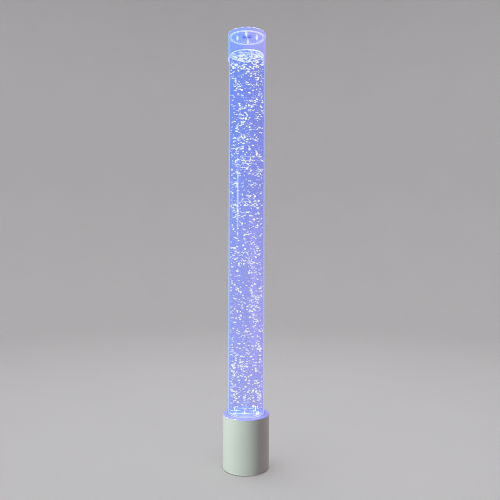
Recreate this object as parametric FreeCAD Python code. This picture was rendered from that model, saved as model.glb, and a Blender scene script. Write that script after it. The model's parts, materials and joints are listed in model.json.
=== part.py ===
import FreeCAD, Part
import math
import os

# A bubble tube lamp that stands on the floor: a clear water-filled tube with a
# lift-off cap, on a round base that holds the lights, the air pump and the
# control board. Millimetres. +Z is up, the origin is where the tube's axis
# meets the floor, the front is -Y and the inlet and button are at +Y.

Vec = FreeCAD.Vector
UP = Vec(0, 0, 1)
BACK = Vec(0, 1, 0)

# ---- driving dimensions ------------------------------------------------------

# outer form
TOTAL_HEIGHT = 1200.0
TUBE_OD = 100.0
TUBE_WALL = 3.0
BASE_HEIGHT = 150.0
BASE_MARGIN = 14.0          # how far the base stands out beyond the tube, all round
BASE_WALL = 3.0
BASE_TOP = 4.0              # thickness of the base's top plate
BASE_TOP_ROUND = 2.5
BASE_FOOT_ROUND = 0.8

# cap
CAP_HEIGHT = 72.0
CAP_WALL = 2.2
CAP_DISC = 8.5
CAP_EDGE_ROUND = 0.8
CAP_LIP = 1.0               # the bead round the sleeve's mouth stands out this far
CAP_LIP_HEIGHT = 3.0
VENT_D = 9.0
VENT_SPACING = 15.0

# tube's foot and the water
TUBE_SINK = 36.0            # the tube goes this far down into the base
FLOOR_DISC = 6.0
FLOOR_RISE = 4.0            # the clear floor's upper face stands this far above the base
WATER_DROP = 49.2           # from the tube's mouth down to the water
GASKET = 2.0
GASKET_LAP = 0.3            # how far the gasket's ring reaches inside the tube's wall

# clearances
SLIP = 0.3                  # between parts that lift, slide or drop in
GLUE = 0.05                 # glued or pushed-on joints
RUNNING = 0.05              # pin in bush, radial
TUBE_GAP = 0.5              # tube in the base's collar, radial

# base carcass
COLLAR_WALL = 2.5
COLLAR_STOP = 4.0           # the collar ends this far above the cradle
CRADLE = 5.0
CRADLE_HOLE_R = 21.0
CRADLE_RIB = 6.0
CRADLE_RIB_WIDTH = 2.4
CRADLE_SPIGOT = 10.0
CRADLE_SPIGOT_WALL = 3.5
COVER = 3.0
COVER_RECESS = 0.2          # the cover sits this far up inside the housing's rim
FOOT_PROUD = 1.0            # the foot ring lifts the housing's rim off the floor
FOOT_GROOVE = 1.0
FOOT_WIDTH = 5.0
FOOT_EDGE = 0.7
BOSS_R = 4.0
BOSS_INSET = 7.0            # from the housing's inner wall to the boss
BOSS_TOP = 60.0
BOSS_BITE = 0.6             # how far a boss or rib runs into the wall it grows from
BALLAST = 8.0
BALLAST_GAP = 0.5
BALLAST_SCREW_CIRCLE_R = 32.0

# fasteners
M3_R = 1.5
M3_HEAD_R = 2.75
M3_HEAD = 1.8
M3_SOCKET_R = 1.2
SCREW_BITE = 10.0
SHORT_BITE = 5.0

# air nozzle in the clear floor
SHANK_R = 5.0
SHANK_LENGTH = 27.0
FLANGE_R = 9.0
FLANGE = 3.0
WASHER = 1.0
NUT_AF = 16.0
NUT = 6.0
DIFFUSER_R = 7.0
DIFFUSER = 8.0
DIFFUSER_WALL = 1.5
DIFFUSER_HOLE_R = 0.6
DIFFUSER_HOLES = 8
SPIGOT = 3.0
AIRWAY_R = 0.9
HOSE_R = 2.5
HOSE_BORE_R = 1.5
BARB = 12.0
BARB_LAP = 6.0

# lights under the clear floor
LED_BOARD = 1.6
LED_BOARD_DROP = 12.4       # from the clear floor's underside to the board's face
LED_BOARD_HOLE_R = 13.0
LED_CIRCLE_R = 29.0
LED_COUNT = 4
LED_SIDE = 6.0
LED_THICK = 1.5
LENS_FOOT_R = 5.5
LENS_TOP_R = 8.0
LENS_SKIRT = 2.2
LENS_HEIGHT = 10.0
STANDOFF_CIRCLE_R = 38.0
STANDOFF_R = 3.5
STANDOFF_COUNT = 3
STANDOFF_START = 45.0       # degrees, so that no standoff meets a light

# air pump
PUMP_Y = 3.0
FRAME = 3.0
FRAME_HALF_WIDTH = 16.0
FRAME_LEFT = -28.0
MOUNT = 6.0
MOUNT_R = 4.0
MOUNT_NECK_R = 2.5
MOUNT_LIP = 1.5
MOUNT_X = (-23.5, 21.0)
MOUNT_INSET = 4.5           # from the frame's long edge to a mount's centre
CHAMBER_HALF = 12.5
CHAMBER = 15.0
CHAMBER_R = 8.0
CHAMBER_DEPTH = 6.0
DIAPHRAGM_RIM = 1.5
DIAPHRAGM_R = 12.0
DIAPHRAGM_HUB_R = 4.5
DIAPHRAGM_RISE = 8.0
DIAPHRAGM_SKIN = 1.0
CLAMP = 2.0
CLAMP_WALL = 2.0
LEVER = 2.0
LEVER_HALF_WIDTH = 4.0
PIVOT_X = -20.0
PIVOT_PIN_R = 1.5
BUSH_R = 3.0
EYE_R = 4.6
EAR = 1.8
EAR_GAP = 0.4
MAGNET = 9.0
MAGNET_HALF = 3.0
MAGNET_X = 19.0
MAGNET_GAP = 1.2
CORE_LENGTH = 16.8
CORE_BACK = 5.0
CORE_HALF_WIDTH = 5.5
CORE_LEG = 4.5
CORE_MID_HALF = 3.2
CORE_HALF_HEIGHT = 13.0
BOBBIN = 1.0
WINDING = 2.6
CHEEK = 2.0
ELBOW_REACH = 5.5
ELBOW_R = 3.2
PUMP_BARB_TOP = 40.0

# check valve in the air line
VALVE_LIFT = 6.0            # its lower barb starts this far above the pump's barb
VALVE_R = 7.0
VALVE_BASE = 4.0
VALVE_TOP = 6.0
VALVE_CAVITY_R = 5.2
VALVE_CAVITY = 3.5
VALVE_DISC_R = 4.0
VALVE_DISC = 1.2

# control board, inlet and button
BOARD = 1.6
BOARD_HALF = 28.0
BOARD_HEIGHT = 42.0
BOARD_LIFT = 1.5            # above the ballast
POST = 6.0
POST_LAP = 3.0              # how far a board's edge goes into a post's slot
JACK_X = -9.0
JACK_Z = 33.0
JACK_DEPTH = 13.5
JACK_HALF = 4.6
JACK_NOSE_R = 4.0
JACK_BORE_R = 3.15
JACK_BORE = 9.5
JACK_PIN_R = 1.0
JACK_WALL_GAP = 0.5
BUTTON_X = 11.0
BUTTON_R = 3.4
BUTTON_PROUD = 1.2
BUTTON_FLANGE_R = 4.6
BUTTON_FLANGE = 1.5
BUTTON_STEM_R = 1.7
SWITCH_HALF = 3.0
SWITCH = 3.6
PLUNGER_R = 1.7
PLUNGER = 2.3
PLUNGER_PROUD = 1.0
PLUG_HALF = 3.0             # half-width of the two lead sockets on the board
PLUG_DEPTH = 5.6
PLUG_HEIGHT = 9.0
LED_PLUG_X = 10.0
PUMP_PLUG_X = 21.0
LEAD_R = 1.4
LED_LEAD_RISE = 22.0        # the light lead turns down this far above its socket
PUMP_LEAD_CREST = 24.0      # the pump lead's crest above the core
LEAD_DROP = 12.0            # from the crest to where the pump lead turns down
BEND_SHARE = 0.45           # share of the shorter run that a bend may take up

# ---- heights and radii worked out from them ----------------------------------

tube_r = TUBE_OD / 2
tube_in = tube_r - TUBE_WALL
base_r = tube_r + BASE_MARGIN
wall_in = base_r - BASE_WALL
collar_in = tube_r + TUBE_GAP
collar_out = collar_in + COLLAR_WALL

rim_z = FOOT_PROUD
cover_z = rim_z + COVER_RECESS
cover_top = cover_z + COVER
ballast_top = cover_top + BALLAST
plate_z = BASE_HEIGHT - BASE_TOP
tube_z = BASE_HEIGHT - TUBE_SINK
cradle_top = tube_z - GASKET
cradle_z = cradle_top - CRADLE
cradle_boss_circle = (collar_out + wall_in) / 2
cradle_boss_r = (wall_in - collar_out) / 2 + BOSS_BITE
boss_circle = wall_in - BOSS_INSET - BOSS_R
ballast_r = boss_circle - BOSS_R - BALLAST_GAP
foot_out = wall_in - FOOT_EDGE - SLIP

cap_z = TOTAL_HEIGHT - CAP_HEIGHT
cap_disc_z = TOTAL_HEIGHT - CAP_DISC
cap_in = tube_r + SLIP
cap_r = cap_in + CAP_WALL
tube_top = cap_disc_z - SLIP

floor_top = BASE_HEIGHT + FLOOR_RISE
floor_z = floor_top - FLOOR_DISC
floor_r = tube_in - GLUE
water_top = tube_top - WATER_DROP
flange_z = floor_top + WASHER
spigot_z = flange_z + FLANGE
barb_stem_r = HOSE_BORE_R - GLUE
shank_z = flange_z - SHANK_LENGTH
barb_z = shank_z - BARB
led_face = floor_z - LED_BOARD_DROP
led_board_z = led_face - LED_BOARD
led_board_r = tube_in - CRADLE_SPIGOT_WALL / 2

frame_z = ballast_top + MOUNT
frame_top = frame_z + FRAME
chamber_top = frame_top + CHAMBER
lever_z = chamber_top + DIAPHRAGM_RISE
lever_mid = lever_z + LEVER / 2
core_x = MAGNET_X + MAGNET + MAGNET_GAP
core_end = core_x + CORE_LENGTH
air_y = PUMP_Y - CHAMBER_HALF - ELBOW_REACH
valve_barb_z = PUMP_BARB_TOP + VALVE_LIFT
valve_z = valve_barb_z + BARB_LAP
valve_seat = valve_z + VALVE_BASE
valve_top = valve_seat + VALVE_TOP

jack_front = math.sqrt(wall_in ** 2 - (abs(JACK_X) + JACK_HALF) ** 2) - JACK_WALL_GAP
board_back = jack_front - JACK_DEPTH
board_y = board_back - BOARD
board_z = ballast_top + BOARD_LIFT
button_face = math.sqrt(base_r ** 2 - BUTTON_X ** 2) + BUTTON_PROUD
flange_face = math.sqrt(wall_in ** 2 - (BUTTON_X + BUTTON_FLANGE_R) ** 2) - SLIP
plunger_tip = board_back + SWITCH + PLUNGER_PROUD
plug_top = board_z + BOARD_HEIGHT


# ---- small helpers -----------------------------------------------------------

def disc(radius, z0, z1, x=0.0, y=0.0):
    return Part.makeCylinder(radius, z1 - z0, Vec(x, y, z0))


def ring(outer, inner, z0, z1, x=0.0, y=0.0):
    return disc(outer, z0, z1, x, y).cut(disc(inner, z0, z1, x, y))


def block(x0, x1, y0, y1, z0, z1):
    return Part.makeBox(x1 - x0, y1 - y0, z1 - z0, Vec(x0, y0, z0))


def rod_y(radius, y0, y1, x, z):
    return Part.makeCylinder(radius, y1 - y0, Vec(x, y0, z), BACK)


def cone(r0, r1, z0, z1, x=0.0, y=0.0):
    return Part.makeCone(r0, r1, z1 - z0, Vec(x, y, z0))


def around(circle_r, count, start=0.0):
    """Points evenly round the axis, as (x, y, angle in degrees)."""
    points = []
    for i in range(count):
        angle = start + 360.0 * i / count
        turn = math.radians(angle)
        points.append((circle_r * math.cos(turn), circle_r * math.sin(turn), angle))
    return points


def fused(shapes):
    whole = shapes[0]
    if len(shapes) > 1:
        whole = whole.fuse(shapes[1:])
    return whole.removeSplitter()


def hexagon(across_flats, z0, z1):
    corner = across_flats / math.sqrt(3)
    points = []
    for i in range(7):
        turn = math.radians(60 * i)
        points.append(Vec(corner * math.cos(turn), corner * math.sin(turn), z0))
    return Part.Face(Part.makePolygon(points)).extrude(UP * (z1 - z0))


def round_edges_at(shape, radius, z, edge_r):
    """Round the circular edges of one radius at one height."""
    chosen = []
    for edge in shape.Edges:
        curve = edge.Curve
        if isinstance(curve, Part.Circle) and abs(curve.Radius - edge_r) < 1e-3:
            if abs(curve.Center.z - z) < 1e-3:
                chosen.append(edge)
    return shape.makeFillet(radius, chosen)


def screw_up(x, y, head_z, length):
    """A cap-head screw whose head is below and whose thread points up."""
    head = disc(M3_HEAD_R, head_z, head_z + M3_HEAD, x, y)
    shank = disc(M3_R, head_z + M3_HEAD, head_z + M3_HEAD + length, x, y)
    socket = disc(M3_SOCKET_R, head_z, head_z + M3_HEAD / 2, x, y)
    return fused([head, shank]).cut(socket)


def screw_down(x, y, seat_z, length):
    """A cap-head screw whose head rests on seat_z and whose thread points down."""
    head = disc(M3_HEAD_R, seat_z, seat_z + M3_HEAD, x, y)
    shank = disc(M3_R, seat_z - length, seat_z, x, y)
    socket = disc(M3_SOCKET_R, seat_z + M3_HEAD / 2, seat_z + M3_HEAD, x, y)
    return fused([head, shank]).cut(socket)


def rounded_path(points):
    """Straight runs joined by tangent arcs that are as large as the runs allow."""
    edges = []
    radii = []
    start = points[0]
    for before, corner, after in zip(points, points[1:], points[2:]):
        back = before - corner
        ahead = after - corner
        reach = BEND_SHARE * min(back.Length, ahead.Length)
        back.normalize()
        ahead.normalize()
        half_turn = (math.pi - back.getAngle(ahead)) / 2
        radius = reach / math.tan(half_turn)
        bisector = back + ahead
        bisector.normalize()
        centre = corner + bisector * (radius / math.cos(half_turn))
        arc_start = corner + back * reach
        arc_end = corner + ahead * reach
        edges.append(Part.LineSegment(start, arc_start).toShape())
        edges.append(Part.Arc(arc_start, centre - bisector * radius, arc_end).toShape())
        start = arc_end
        radii.append(round(radius, 1))
    edges.append(Part.LineSegment(start, points[-1]).toShape())
    return Part.Wire(edges), radii


def swept_rod(points, radius):
    path, radii = rounded_path(points)
    direction = points[1] - points[0]
    profile = Part.Wire([Part.makeCircle(radius, points[0], direction)])
    rod = path.makePipeShell([profile], True, False)
    expected = math.pi * radius ** 2 * path.Length
    print("bend radii", radii, "volume over section x length", round(rod.Volume / expected, 4))
    return rod


# ---- base carcass ------------------------------------------------------------

def cover_boss_points():
    return around(boss_circle, 4, 45.0)


def cradle_boss_points():
    return around(cradle_boss_circle, 4)


def base_housing():
    """The white drum: wall, top plate, collar for the tube and screw bosses."""
    shell = disc(base_r, rim_z, BASE_HEIGHT)
    shell = round_edges_at(shell, BASE_TOP_ROUND, BASE_HEIGHT, base_r)
    shell = round_edges_at(shell, BASE_FOOT_ROUND, rim_z, base_r)
    shell = shell.cut(disc(wall_in, rim_z, plate_z))
    shell = shell.cut(disc(collar_in, plate_z, BASE_HEIGHT))
    pieces = [shell, ring(collar_out, collar_in, cradle_top + COLLAR_STOP, plate_z)]
    for x, y, angle in cradle_boss_points():
        pieces.append(disc(cradle_boss_r, cradle_top, plate_z, x, y))
    for x, y, angle in cover_boss_points():
        boss = disc(BOSS_R, cover_top, BOSS_TOP, x, y)
        rib = block(boss_circle, wall_in + BOSS_BITE, -BOSS_R / 2, BOSS_R / 2, cover_top, BOSS_TOP)
        rib.rotate(Vec(0, 0, 0), UP, angle)
        pieces.extend([boss, rib])
    housing = fused(pieces)
    housing = housing.cut(disc(collar_in, cradle_top, BASE_HEIGHT))
    for x, y, angle in cradle_boss_points():
        housing = housing.cut(disc(M3_R + GLUE, cradle_top, cradle_top + SCREW_BITE + 1, x, y))
    for x, y, angle in cover_boss_points():
        housing = housing.cut(disc(M3_R + GLUE, cover_top, cover_top + SCREW_BITE + 1, x, y))
    housing = housing.cut(rod_y(JACK_NOSE_R + GLUE * 4, 0, base_r, JACK_X, JACK_Z))
    housing = housing.cut(rod_y(BUTTON_R + SLIP, 0, base_r, BUTTON_X, JACK_Z))
    return housing


def bottom_cover():
    """The plate that closes the base, with posts that hold the control board."""
    pieces = [disc(wall_in - SLIP, cover_z, cover_top)]
    for side in (-1, 1):
        inner = BOARD_HALF - POST_LAP
        x0, x1 = sorted((side * inner, side * (inner + POST)))
        y0 = board_y - POST / 2
        pieces.append(block(x0, x1, y0, board_back + POST / 2, cover_top, plug_top))
    cover = fused(pieces)
    slot = block(-BOARD_HALF - SLIP, BOARD_HALF + SLIP,
                 board_y - GLUE, board_back + GLUE, board_z, plug_top)
    cover = cover.cut(slot)
    cover = cover.cut(ring(foot_out, foot_out - FOOT_WIDTH, cover_z, cover_z + FOOT_GROOVE))
    for x, y, angle in cover_boss_points() + ballast_screw_points():
        cover = cover.cut(disc(M3_R + GLUE, cover_z, cover_top, x, y))
        cover = cover.cut(disc(M3_HEAD_R + GLUE, cover_z, cover_z + M3_HEAD, x, y))
    return cover


def foot_ring():
    """The soft ring that the lamp stands on, seated in the cover's groove."""
    return ring(foot_out - GLUE, foot_out - FOOT_WIDTH + GLUE, 0.0, cover_z + FOOT_GROOVE)


def cover_screws():
    return [screw_up(x, y, cover_z, cover_top - cover_z - M3_HEAD + SCREW_BITE)
            for x, y, angle in cover_boss_points()]


def ballast_screw_points():
    return around(BALLAST_SCREW_CIRCLE_R, 3, 270.0)


def pump_mount_points():
    inset = FRAME_HALF_WIDTH - MOUNT_INSET
    return [(x, PUMP_Y + side * inset) for x in MOUNT_X for side in (-1, 1)]


def ballast_plate():
    """A steel disc low in the base, under the weight of the water column."""
    plate = disc(ballast_r, cover_top, ballast_top)
    for x, y, angle in ballast_screw_points():
        plate = plate.cut(disc(M3_R + GLUE, cover_top, cover_top + SHORT_BITE + 1, x, y))
    for x, y in pump_mount_points():
        plate = plate.cut(disc(M3_R + GLUE, ballast_top - SHORT_BITE, ballast_top, x, y))
    return plate


def ballast_screws():
    return [screw_up(x, y, cover_z, cover_top - cover_z - M3_HEAD + SHORT_BITE)
            for x, y, angle in ballast_screw_points()]


def standoff_points():
    return around(STANDOFF_CIRCLE_R, STANDOFF_COUNT, STANDOFF_START)


def tube_cradle():
    """The ribbed plate that carries the tube's end, screwed up into the housing."""
    pieces = [disc(wall_in - SLIP, cradle_z, cradle_top)]
    spigot_r = tube_in - SLIP - GASKET_LAP
    pieces.append(ring(spigot_r, spigot_r - CRADLE_SPIGOT_WALL, cradle_top,
                       cradle_top + CRADLE_SPIGOT))
    for x, y, angle in standoff_points():
        pieces.append(disc(STANDOFF_R, cradle_top, led_board_z, x, y))
    for x, y, angle in around(1.0, 8, 22.5):
        rib = block(CRADLE_HOLE_R - BOSS_BITE, wall_in - BASE_WALL, -CRADLE_RIB_WIDTH / 2,
                    CRADLE_RIB_WIDTH / 2, cradle_z - CRADLE_RIB, cradle_z)
        rib.rotate(Vec(0, 0, 0), UP, angle)
        pieces.append(rib)
    cradle = fused(pieces)
    cradle = cradle.cut(disc(CRADLE_HOLE_R, cradle_z - CRADLE_RIB, cradle_top))
    for x, y, angle in cradle_boss_points():
        cradle = cradle.cut(disc(M3_R + GLUE, cradle_z, cradle_top, x, y))
    for x, y, angle in standoff_points():
        cradle = cradle.cut(disc(M3_R + GLUE, led_board_z - SHORT_BITE - 1, led_board_z, x, y))
    return cradle


def cradle_screws():
    return [screw_up(x, y, cradle_z - M3_HEAD, CRADLE + SCREW_BITE)
            for x, y, angle in cradle_boss_points()]


def tube_gasket():
    """The soft ring between the tube's end and its cradle."""
    return ring(tube_r, tube_in - GASKET_LAP, cradle_top, tube_z)


# ---- tube, water and cap -----------------------------------------------------

def clear_tube():
    return ring(tube_r, tube_in, tube_z, tube_top)


def tube_floor_disc():
    """The clear disc glued inside the tube that holds the water up."""
    return ring(floor_r, SHANK_R + GLUE, floor_z, floor_top)


def water_column():
    """The water, hollowed where the nozzle, washer and diffuser stand in it."""
    water = disc(floor_r, floor_top + GLUE, water_top)
    water = water.cut(disc(FLANGE_R + GLUE, floor_top, spigot_z + GLUE))
    return water.cut(disc(DIFFUSER_R + GLUE, floor_top, spigot_z + DIFFUSER + GLUE))


def cap_sleeve():
    """The clear sleeve of the cap, with a bead round its mouth."""
    lip = disc(cap_r + CAP_LIP, cap_z, cap_z + CAP_LIP_HEIGHT)
    lip = round_edges_at(lip, CAP_LIP * 0.9, cap_z + CAP_LIP_HEIGHT, cap_r + CAP_LIP)
    lip = round_edges_at(lip, CAP_LIP * 0.9, cap_z, cap_r + CAP_LIP)
    sleeve = fused([disc(cap_r, cap_z, cap_disc_z), lip])
    return sleeve.cut(disc(cap_in, cap_z, cap_disc_z))


def vent_points():
    return [(-VENT_SPACING / 2, 0.0), (VENT_SPACING / 2, 0.0)]


def cap_disc():
    """The thick clear disc that closes the cap, with two vent holes."""
    plate = disc(cap_r, cap_disc_z, TOTAL_HEIGHT)
    plate = round_edges_at(plate, CAP_EDGE_ROUND, TOTAL_HEIGHT, cap_r)
    for x, y in vent_points():
        plate = plate.cut(disc(VENT_D / 2, cap_disc_z, TOTAL_HEIGHT, x, y))
    return plate


# ---- air nozzle --------------------------------------------------------------

def air_nozzle():
    """The fitting through the clear floor: flange, threaded shank and hose barb."""
    body = fused([
        disc(FLANGE_R, flange_z, spigot_z),
        disc(SHANK_R, shank_z, flange_z),
        disc(barb_stem_r, barb_z, shank_z),
        disc(DIFFUSER_R - DIFFUSER_WALL - GLUE, spigot_z, spigot_z + SPIGOT),
    ])
    return body.cut(disc(AIRWAY_R, barb_z, spigot_z + SPIGOT))


def nozzle_washer():
    return ring(FLANGE_R, SHANK_R + GLUE, floor_top, flange_z)


def nozzle_nut():
    return hexagon(NUT_AF, floor_z - NUT, floor_z).cut(disc(SHANK_R + GLUE, floor_z - NUT, floor_z))


def diffuser_head():
    """The small perforated cup that breaks the air into bubbles."""
    top = spigot_z + DIFFUSER
    cup = round_edges_at(disc(DIFFUSER_R, spigot_z, top), DIFFUSER_WALL, top, DIFFUSER_R)
    cup = cup.cut(disc(DIFFUSER_R - DIFFUSER_WALL, spigot_z, top - DIFFUSER_WALL))
    hole_z = spigot_z + SPIGOT + (DIFFUSER - SPIGOT - DIFFUSER_WALL) / 2
    for x, y, angle in around(1.0, DIFFUSER_HOLES):
        outward = Vec(x, y, 0)
        cup = cup.cut(Part.makeCylinder(DIFFUSER_HOLE_R, DIFFUSER_R, Vec(0, 0, hole_z), outward))
    for x, y, angle in around(DIFFUSER_R / 2, DIFFUSER_HOLES // 2, 45.0):
        cup = cup.cut(disc(DIFFUSER_HOLE_R, top - DIFFUSER_WALL, top, x, y))
    return cup


# ---- lights ------------------------------------------------------------------

def led_points():
    return around(LED_CIRCLE_R, LED_COUNT)


def led_board():
    plate = ring(led_board_r, LED_BOARD_HOLE_R, led_board_z, led_face)
    for x, y, angle in standoff_points():
        plate = plate.cut(disc(M3_R + GLUE, led_board_z, led_face, x, y))
    return plate


def led_chips():
    half = LED_SIDE / 2
    return [block(x - half, x + half, y - half, y + half, led_face, led_face + LED_THICK)
            for x, y, angle in led_points()]


def led_lenses():
    """Clear collimator lenses that stand over the chips on a skirt."""
    lenses = []
    pocket_r = LED_SIDE / math.sqrt(2) + SLIP
    for x, y, angle in led_points():
        skirt = disc(LENS_FOOT_R, led_face, led_face + LENS_SKIRT, x, y)
        flare = cone(LENS_FOOT_R, LENS_TOP_R, led_face + LENS_SKIRT, led_face + LENS_HEIGHT, x, y)
        pocket = disc(pocket_r, led_face, led_face + LED_THICK + GLUE, x, y)
        lenses.append(fused([skirt, flare]).cut(pocket))
    return lenses


def led_board_screws():
    return [screw_down(x, y, led_face, LED_BOARD + SHORT_BITE)
            for x, y, angle in standoff_points()]


# ---- air pump ----------------------------------------------------------------

def pump_frame():
    """The moulded plate with the pivot's ears and the cheeks that grip the core."""
    y0 = PUMP_Y - FRAME_HALF_WIDTH
    y1 = PUMP_Y + FRAME_HALF_WIDTH
    pieces = [block(FRAME_LEFT, core_end, y0, y1, frame_z, frame_top)]
    ear_in = LEVER_HALF_WIDTH + EAR_GAP
    for side in (-1, 1):
        e0, e1 = sorted((PUMP_Y + side * ear_in, PUMP_Y + side * (ear_in + EAR)))
        ear = block(PIVOT_X - EYE_R, PIVOT_X + EYE_R, e0, e1, frame_top, lever_mid)
        pieces.append(fused([ear, rod_y(EYE_R, e0, e1, PIVOT_X, lever_mid)]))
        cheek_in = CORE_HALF_WIDTH + GLUE
        c0, c1 = sorted((PUMP_Y + side * cheek_in, PUMP_Y + side * (cheek_in + CHEEK)))
        core_foot = lever_mid - CORE_HALF_HEIGHT
        pieces.append(block(core_end - CORE_BACK, core_end, c0, c1, frame_top,
                            core_foot + 2 * CORE_LEG))
    pieces.append(block(core_x, core_end, PUMP_Y - CORE_HALF_WIDTH - CHEEK,
                        PUMP_Y + CORE_HALF_WIDTH + CHEEK, frame_top,
                        lever_mid - CORE_HALF_HEIGHT))
    frame = fused(pieces)
    pin_hole = rod_y(PIVOT_PIN_R, y0, y1, PIVOT_X, lever_mid)
    frame = frame.cut(pin_hole)
    for x, y in pump_mount_points():
        frame = frame.cut(disc(MOUNT_NECK_R, frame_z, frame_top, x, y))
    return frame


def pump_mounts():
    """Rubber grommets that keep the pump's hum out of the base."""
    mounts = []
    for x, y in pump_mount_points():
        body = fused([
            disc(MOUNT_R, ballast_top, frame_z, x, y),
            disc(MOUNT_NECK_R - GLUE, frame_z, frame_top, x, y),
            disc(MOUNT_R, frame_top, frame_top + MOUNT_LIP, x, y),
        ])
        mounts.append(body.cut(disc(M3_R + GLUE, ballast_top, frame_top + MOUNT_LIP, x, y)))
    return mounts


def pump_screws():
    length = MOUNT + FRAME + MOUNT_LIP + SHORT_BITE - 1
    return [screw_down(x, y, frame_top + MOUNT_LIP, length) for x, y in pump_mount_points()]


def pump_core():
    """The E-shaped stack of steel sheets that the coil sits on."""
    y0 = PUMP_Y - CORE_HALF_WIDTH
    y1 = PUMP_Y + CORE_HALF_WIDTH
    low = lever_mid - CORE_HALF_HEIGHT
    high = lever_mid + CORE_HALF_HEIGHT
    return fused([
        block(core_end - CORE_BACK, core_end, y0, y1, low, high),
        block(core_x, core_end, y0, y1, low, low + CORE_LEG),
        block(core_x, core_end, y0, y1, lever_mid - CORE_MID_HALF, lever_mid + CORE_MID_HALF),
        block(core_x, core_end, y0, y1, high - CORE_LEG, high),
    ])


def coil_box(grow, x0, x1):
    """A box round the core's middle leg, larger than the leg by grow on four sides."""
    return block(x0, x1, PUMP_Y - CORE_HALF_WIDTH - grow, PUMP_Y + CORE_HALF_WIDTH + grow,
                 lever_mid - CORE_MID_HALF - grow, lever_mid + CORE_MID_HALF + grow)


def coil_bobbin():
    x0 = core_x + SLIP
    x1 = core_end - CORE_BACK - GLUE
    wall = GLUE + BOBBIN
    spool = coil_box(wall, x0, x1)
    flange = wall + WINDING
    spool = fused([spool, coil_box(flange, x0, x0 + BOBBIN), coil_box(flange, x1 - BOBBIN, x1)])
    return spool.cut(coil_box(GLUE, x0, x1))


def coil_winding():
    x0 = core_x + SLIP + BOBBIN
    x1 = core_end - CORE_BACK - GLUE - BOBBIN
    wall = GLUE + BOBBIN
    return coil_box(wall + WINDING - GLUE, x0 + GLUE, x1 - GLUE).cut(coil_box(wall, x0, x1))


def pump_lever():
    """The rocking arm: an eye at the pivot, a seat for the diaphragm, the magnet's tail."""
    y0 = PUMP_Y - LEVER_HALF_WIDTH
    y1 = PUMP_Y + LEVER_HALF_WIDTH
    arm = block(PIVOT_X, MAGNET_X + GLUE, y0, y1, lever_z, lever_z + LEVER)
    eye = rod_y(EYE_R - SLIP, y0, y1, PIVOT_X, lever_mid)
    lever = fused([arm, eye]).cut(rod_y(BUSH_R, y0, y1, PIVOT_X, lever_mid))
    return lever.cut(disc(M3_R + GLUE, lever_z, lever_z + LEVER, 0, PUMP_Y))


def lever_bush():
    y0 = PUMP_Y - LEVER_HALF_WIDTH
    y1 = PUMP_Y + LEVER_HALF_WIDTH
    bush = rod_y(BUSH_R - GLUE, y0, y1, PIVOT_X, lever_mid)
    return bush.cut(rod_y(PIVOT_PIN_R + RUNNING, y0, y1, PIVOT_X, lever_mid))


def pivot_pin():
    reach = LEVER_HALF_WIDTH + EAR_GAP + EAR
    return rod_y(PIVOT_PIN_R, PUMP_Y - reach, PUMP_Y + reach, PIVOT_X, lever_mid)


def lever_magnet():
    """The block magnet on the lever's tail, facing the core across a small gap."""
    return block(MAGNET_X + GLUE, MAGNET_X + MAGNET, PUMP_Y - LEVER_HALF_WIDTH,
                 PUMP_Y + LEVER_HALF_WIDTH, lever_mid - MAGNET_HALF, lever_mid + MAGNET_HALF)


def hub_screw():
    """The screw that ties the diaphragm's hub to the lever."""
    return screw_down(0, PUMP_Y, lever_z + LEVER, LEVER + DIAPHRAGM_RISE / 2)


def valve_block():
    """The pump's chamber, with an elbow that ends in an upright hose barb."""
    y0 = PUMP_Y - CHAMBER_HALF
    body = block(-CHAMBER_HALF, CHAMBER_HALF, y0, PUMP_Y + CHAMBER_HALF, frame_top, chamber_top)
    stub_z = chamber_top - CHAMBER_DEPTH - ELBOW_R
    elbow = block(-ELBOW_R, ELBOW_R, air_y - ELBOW_R, y0, stub_z - ELBOW_R, stub_z + ELBOW_R)
    barb = disc(barb_stem_r, stub_z, PUMP_BARB_TOP, 0, air_y)
    body = fused([body, elbow, barb])
    body = body.cut(disc(CHAMBER_R, chamber_top - CHAMBER_DEPTH, chamber_top, 0, PUMP_Y))
    body = body.cut(disc(AIRWAY_R, stub_z, PUMP_BARB_TOP, 0, air_y))
    body = body.cut(rod_y(AIRWAY_R, air_y, PUMP_Y, 0, stub_z))
    return body.cut(disc(AIRWAY_R, stub_z, chamber_top - CHAMBER_DEPTH, 0, PUMP_Y))


def pump_diaphragm():
    """The rubber cone that the lever pushes and pulls, clamped at its rim."""
    rim = disc(DIAPHRAGM_R, chamber_top, chamber_top + DIAPHRAGM_RIM, 0, PUMP_Y)
    skin_z = chamber_top + DIAPHRAGM_RIM
    waist = CHAMBER_R + DIAPHRAGM_SKIN
    outer = cone(waist, DIAPHRAGM_HUB_R, skin_z, lever_z, 0, PUMP_Y)
    inner = cone(waist - DIAPHRAGM_SKIN, DIAPHRAGM_HUB_R - DIAPHRAGM_SKIN,
                 chamber_top, lever_z - DIAPHRAGM_RISE / 2 - DIAPHRAGM_SKIN, 0, PUMP_Y)
    cup = fused([rim, outer]).cut(inner)
    return cup.cut(disc(M3_R + GLUE, lever_z - DIAPHRAGM_RISE / 2, lever_z, 0, PUMP_Y))


def diaphragm_ring():
    """The clamp ring that holds the diaphragm's rim on the chamber."""
    z0 = chamber_top + DIAPHRAGM_RIM
    return ring(DIAPHRAGM_R, DIAPHRAGM_R - CLAMP_WALL, z0, z0 + CLAMP, 0, PUMP_Y)


# ---- air line ----------------------------------------------------------------

def air_hose_lower():
    """The short straight hose from the pump's barb to the check valve."""
    return ring(HOSE_R, HOSE_BORE_R, PUMP_BARB_TOP - BARB_LAP, valve_z, 0, air_y)


def check_valve_base():
    """The lower half of the check valve: barb, cup and the flat seat."""
    body = fused([disc(barb_stem_r, valve_barb_z, valve_z, 0, air_y),
                  disc(VALVE_R, valve_z, valve_seat, 0, air_y)])
    return body.cut(disc(AIRWAY_R, valve_barb_z, valve_seat, 0, air_y))


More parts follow.
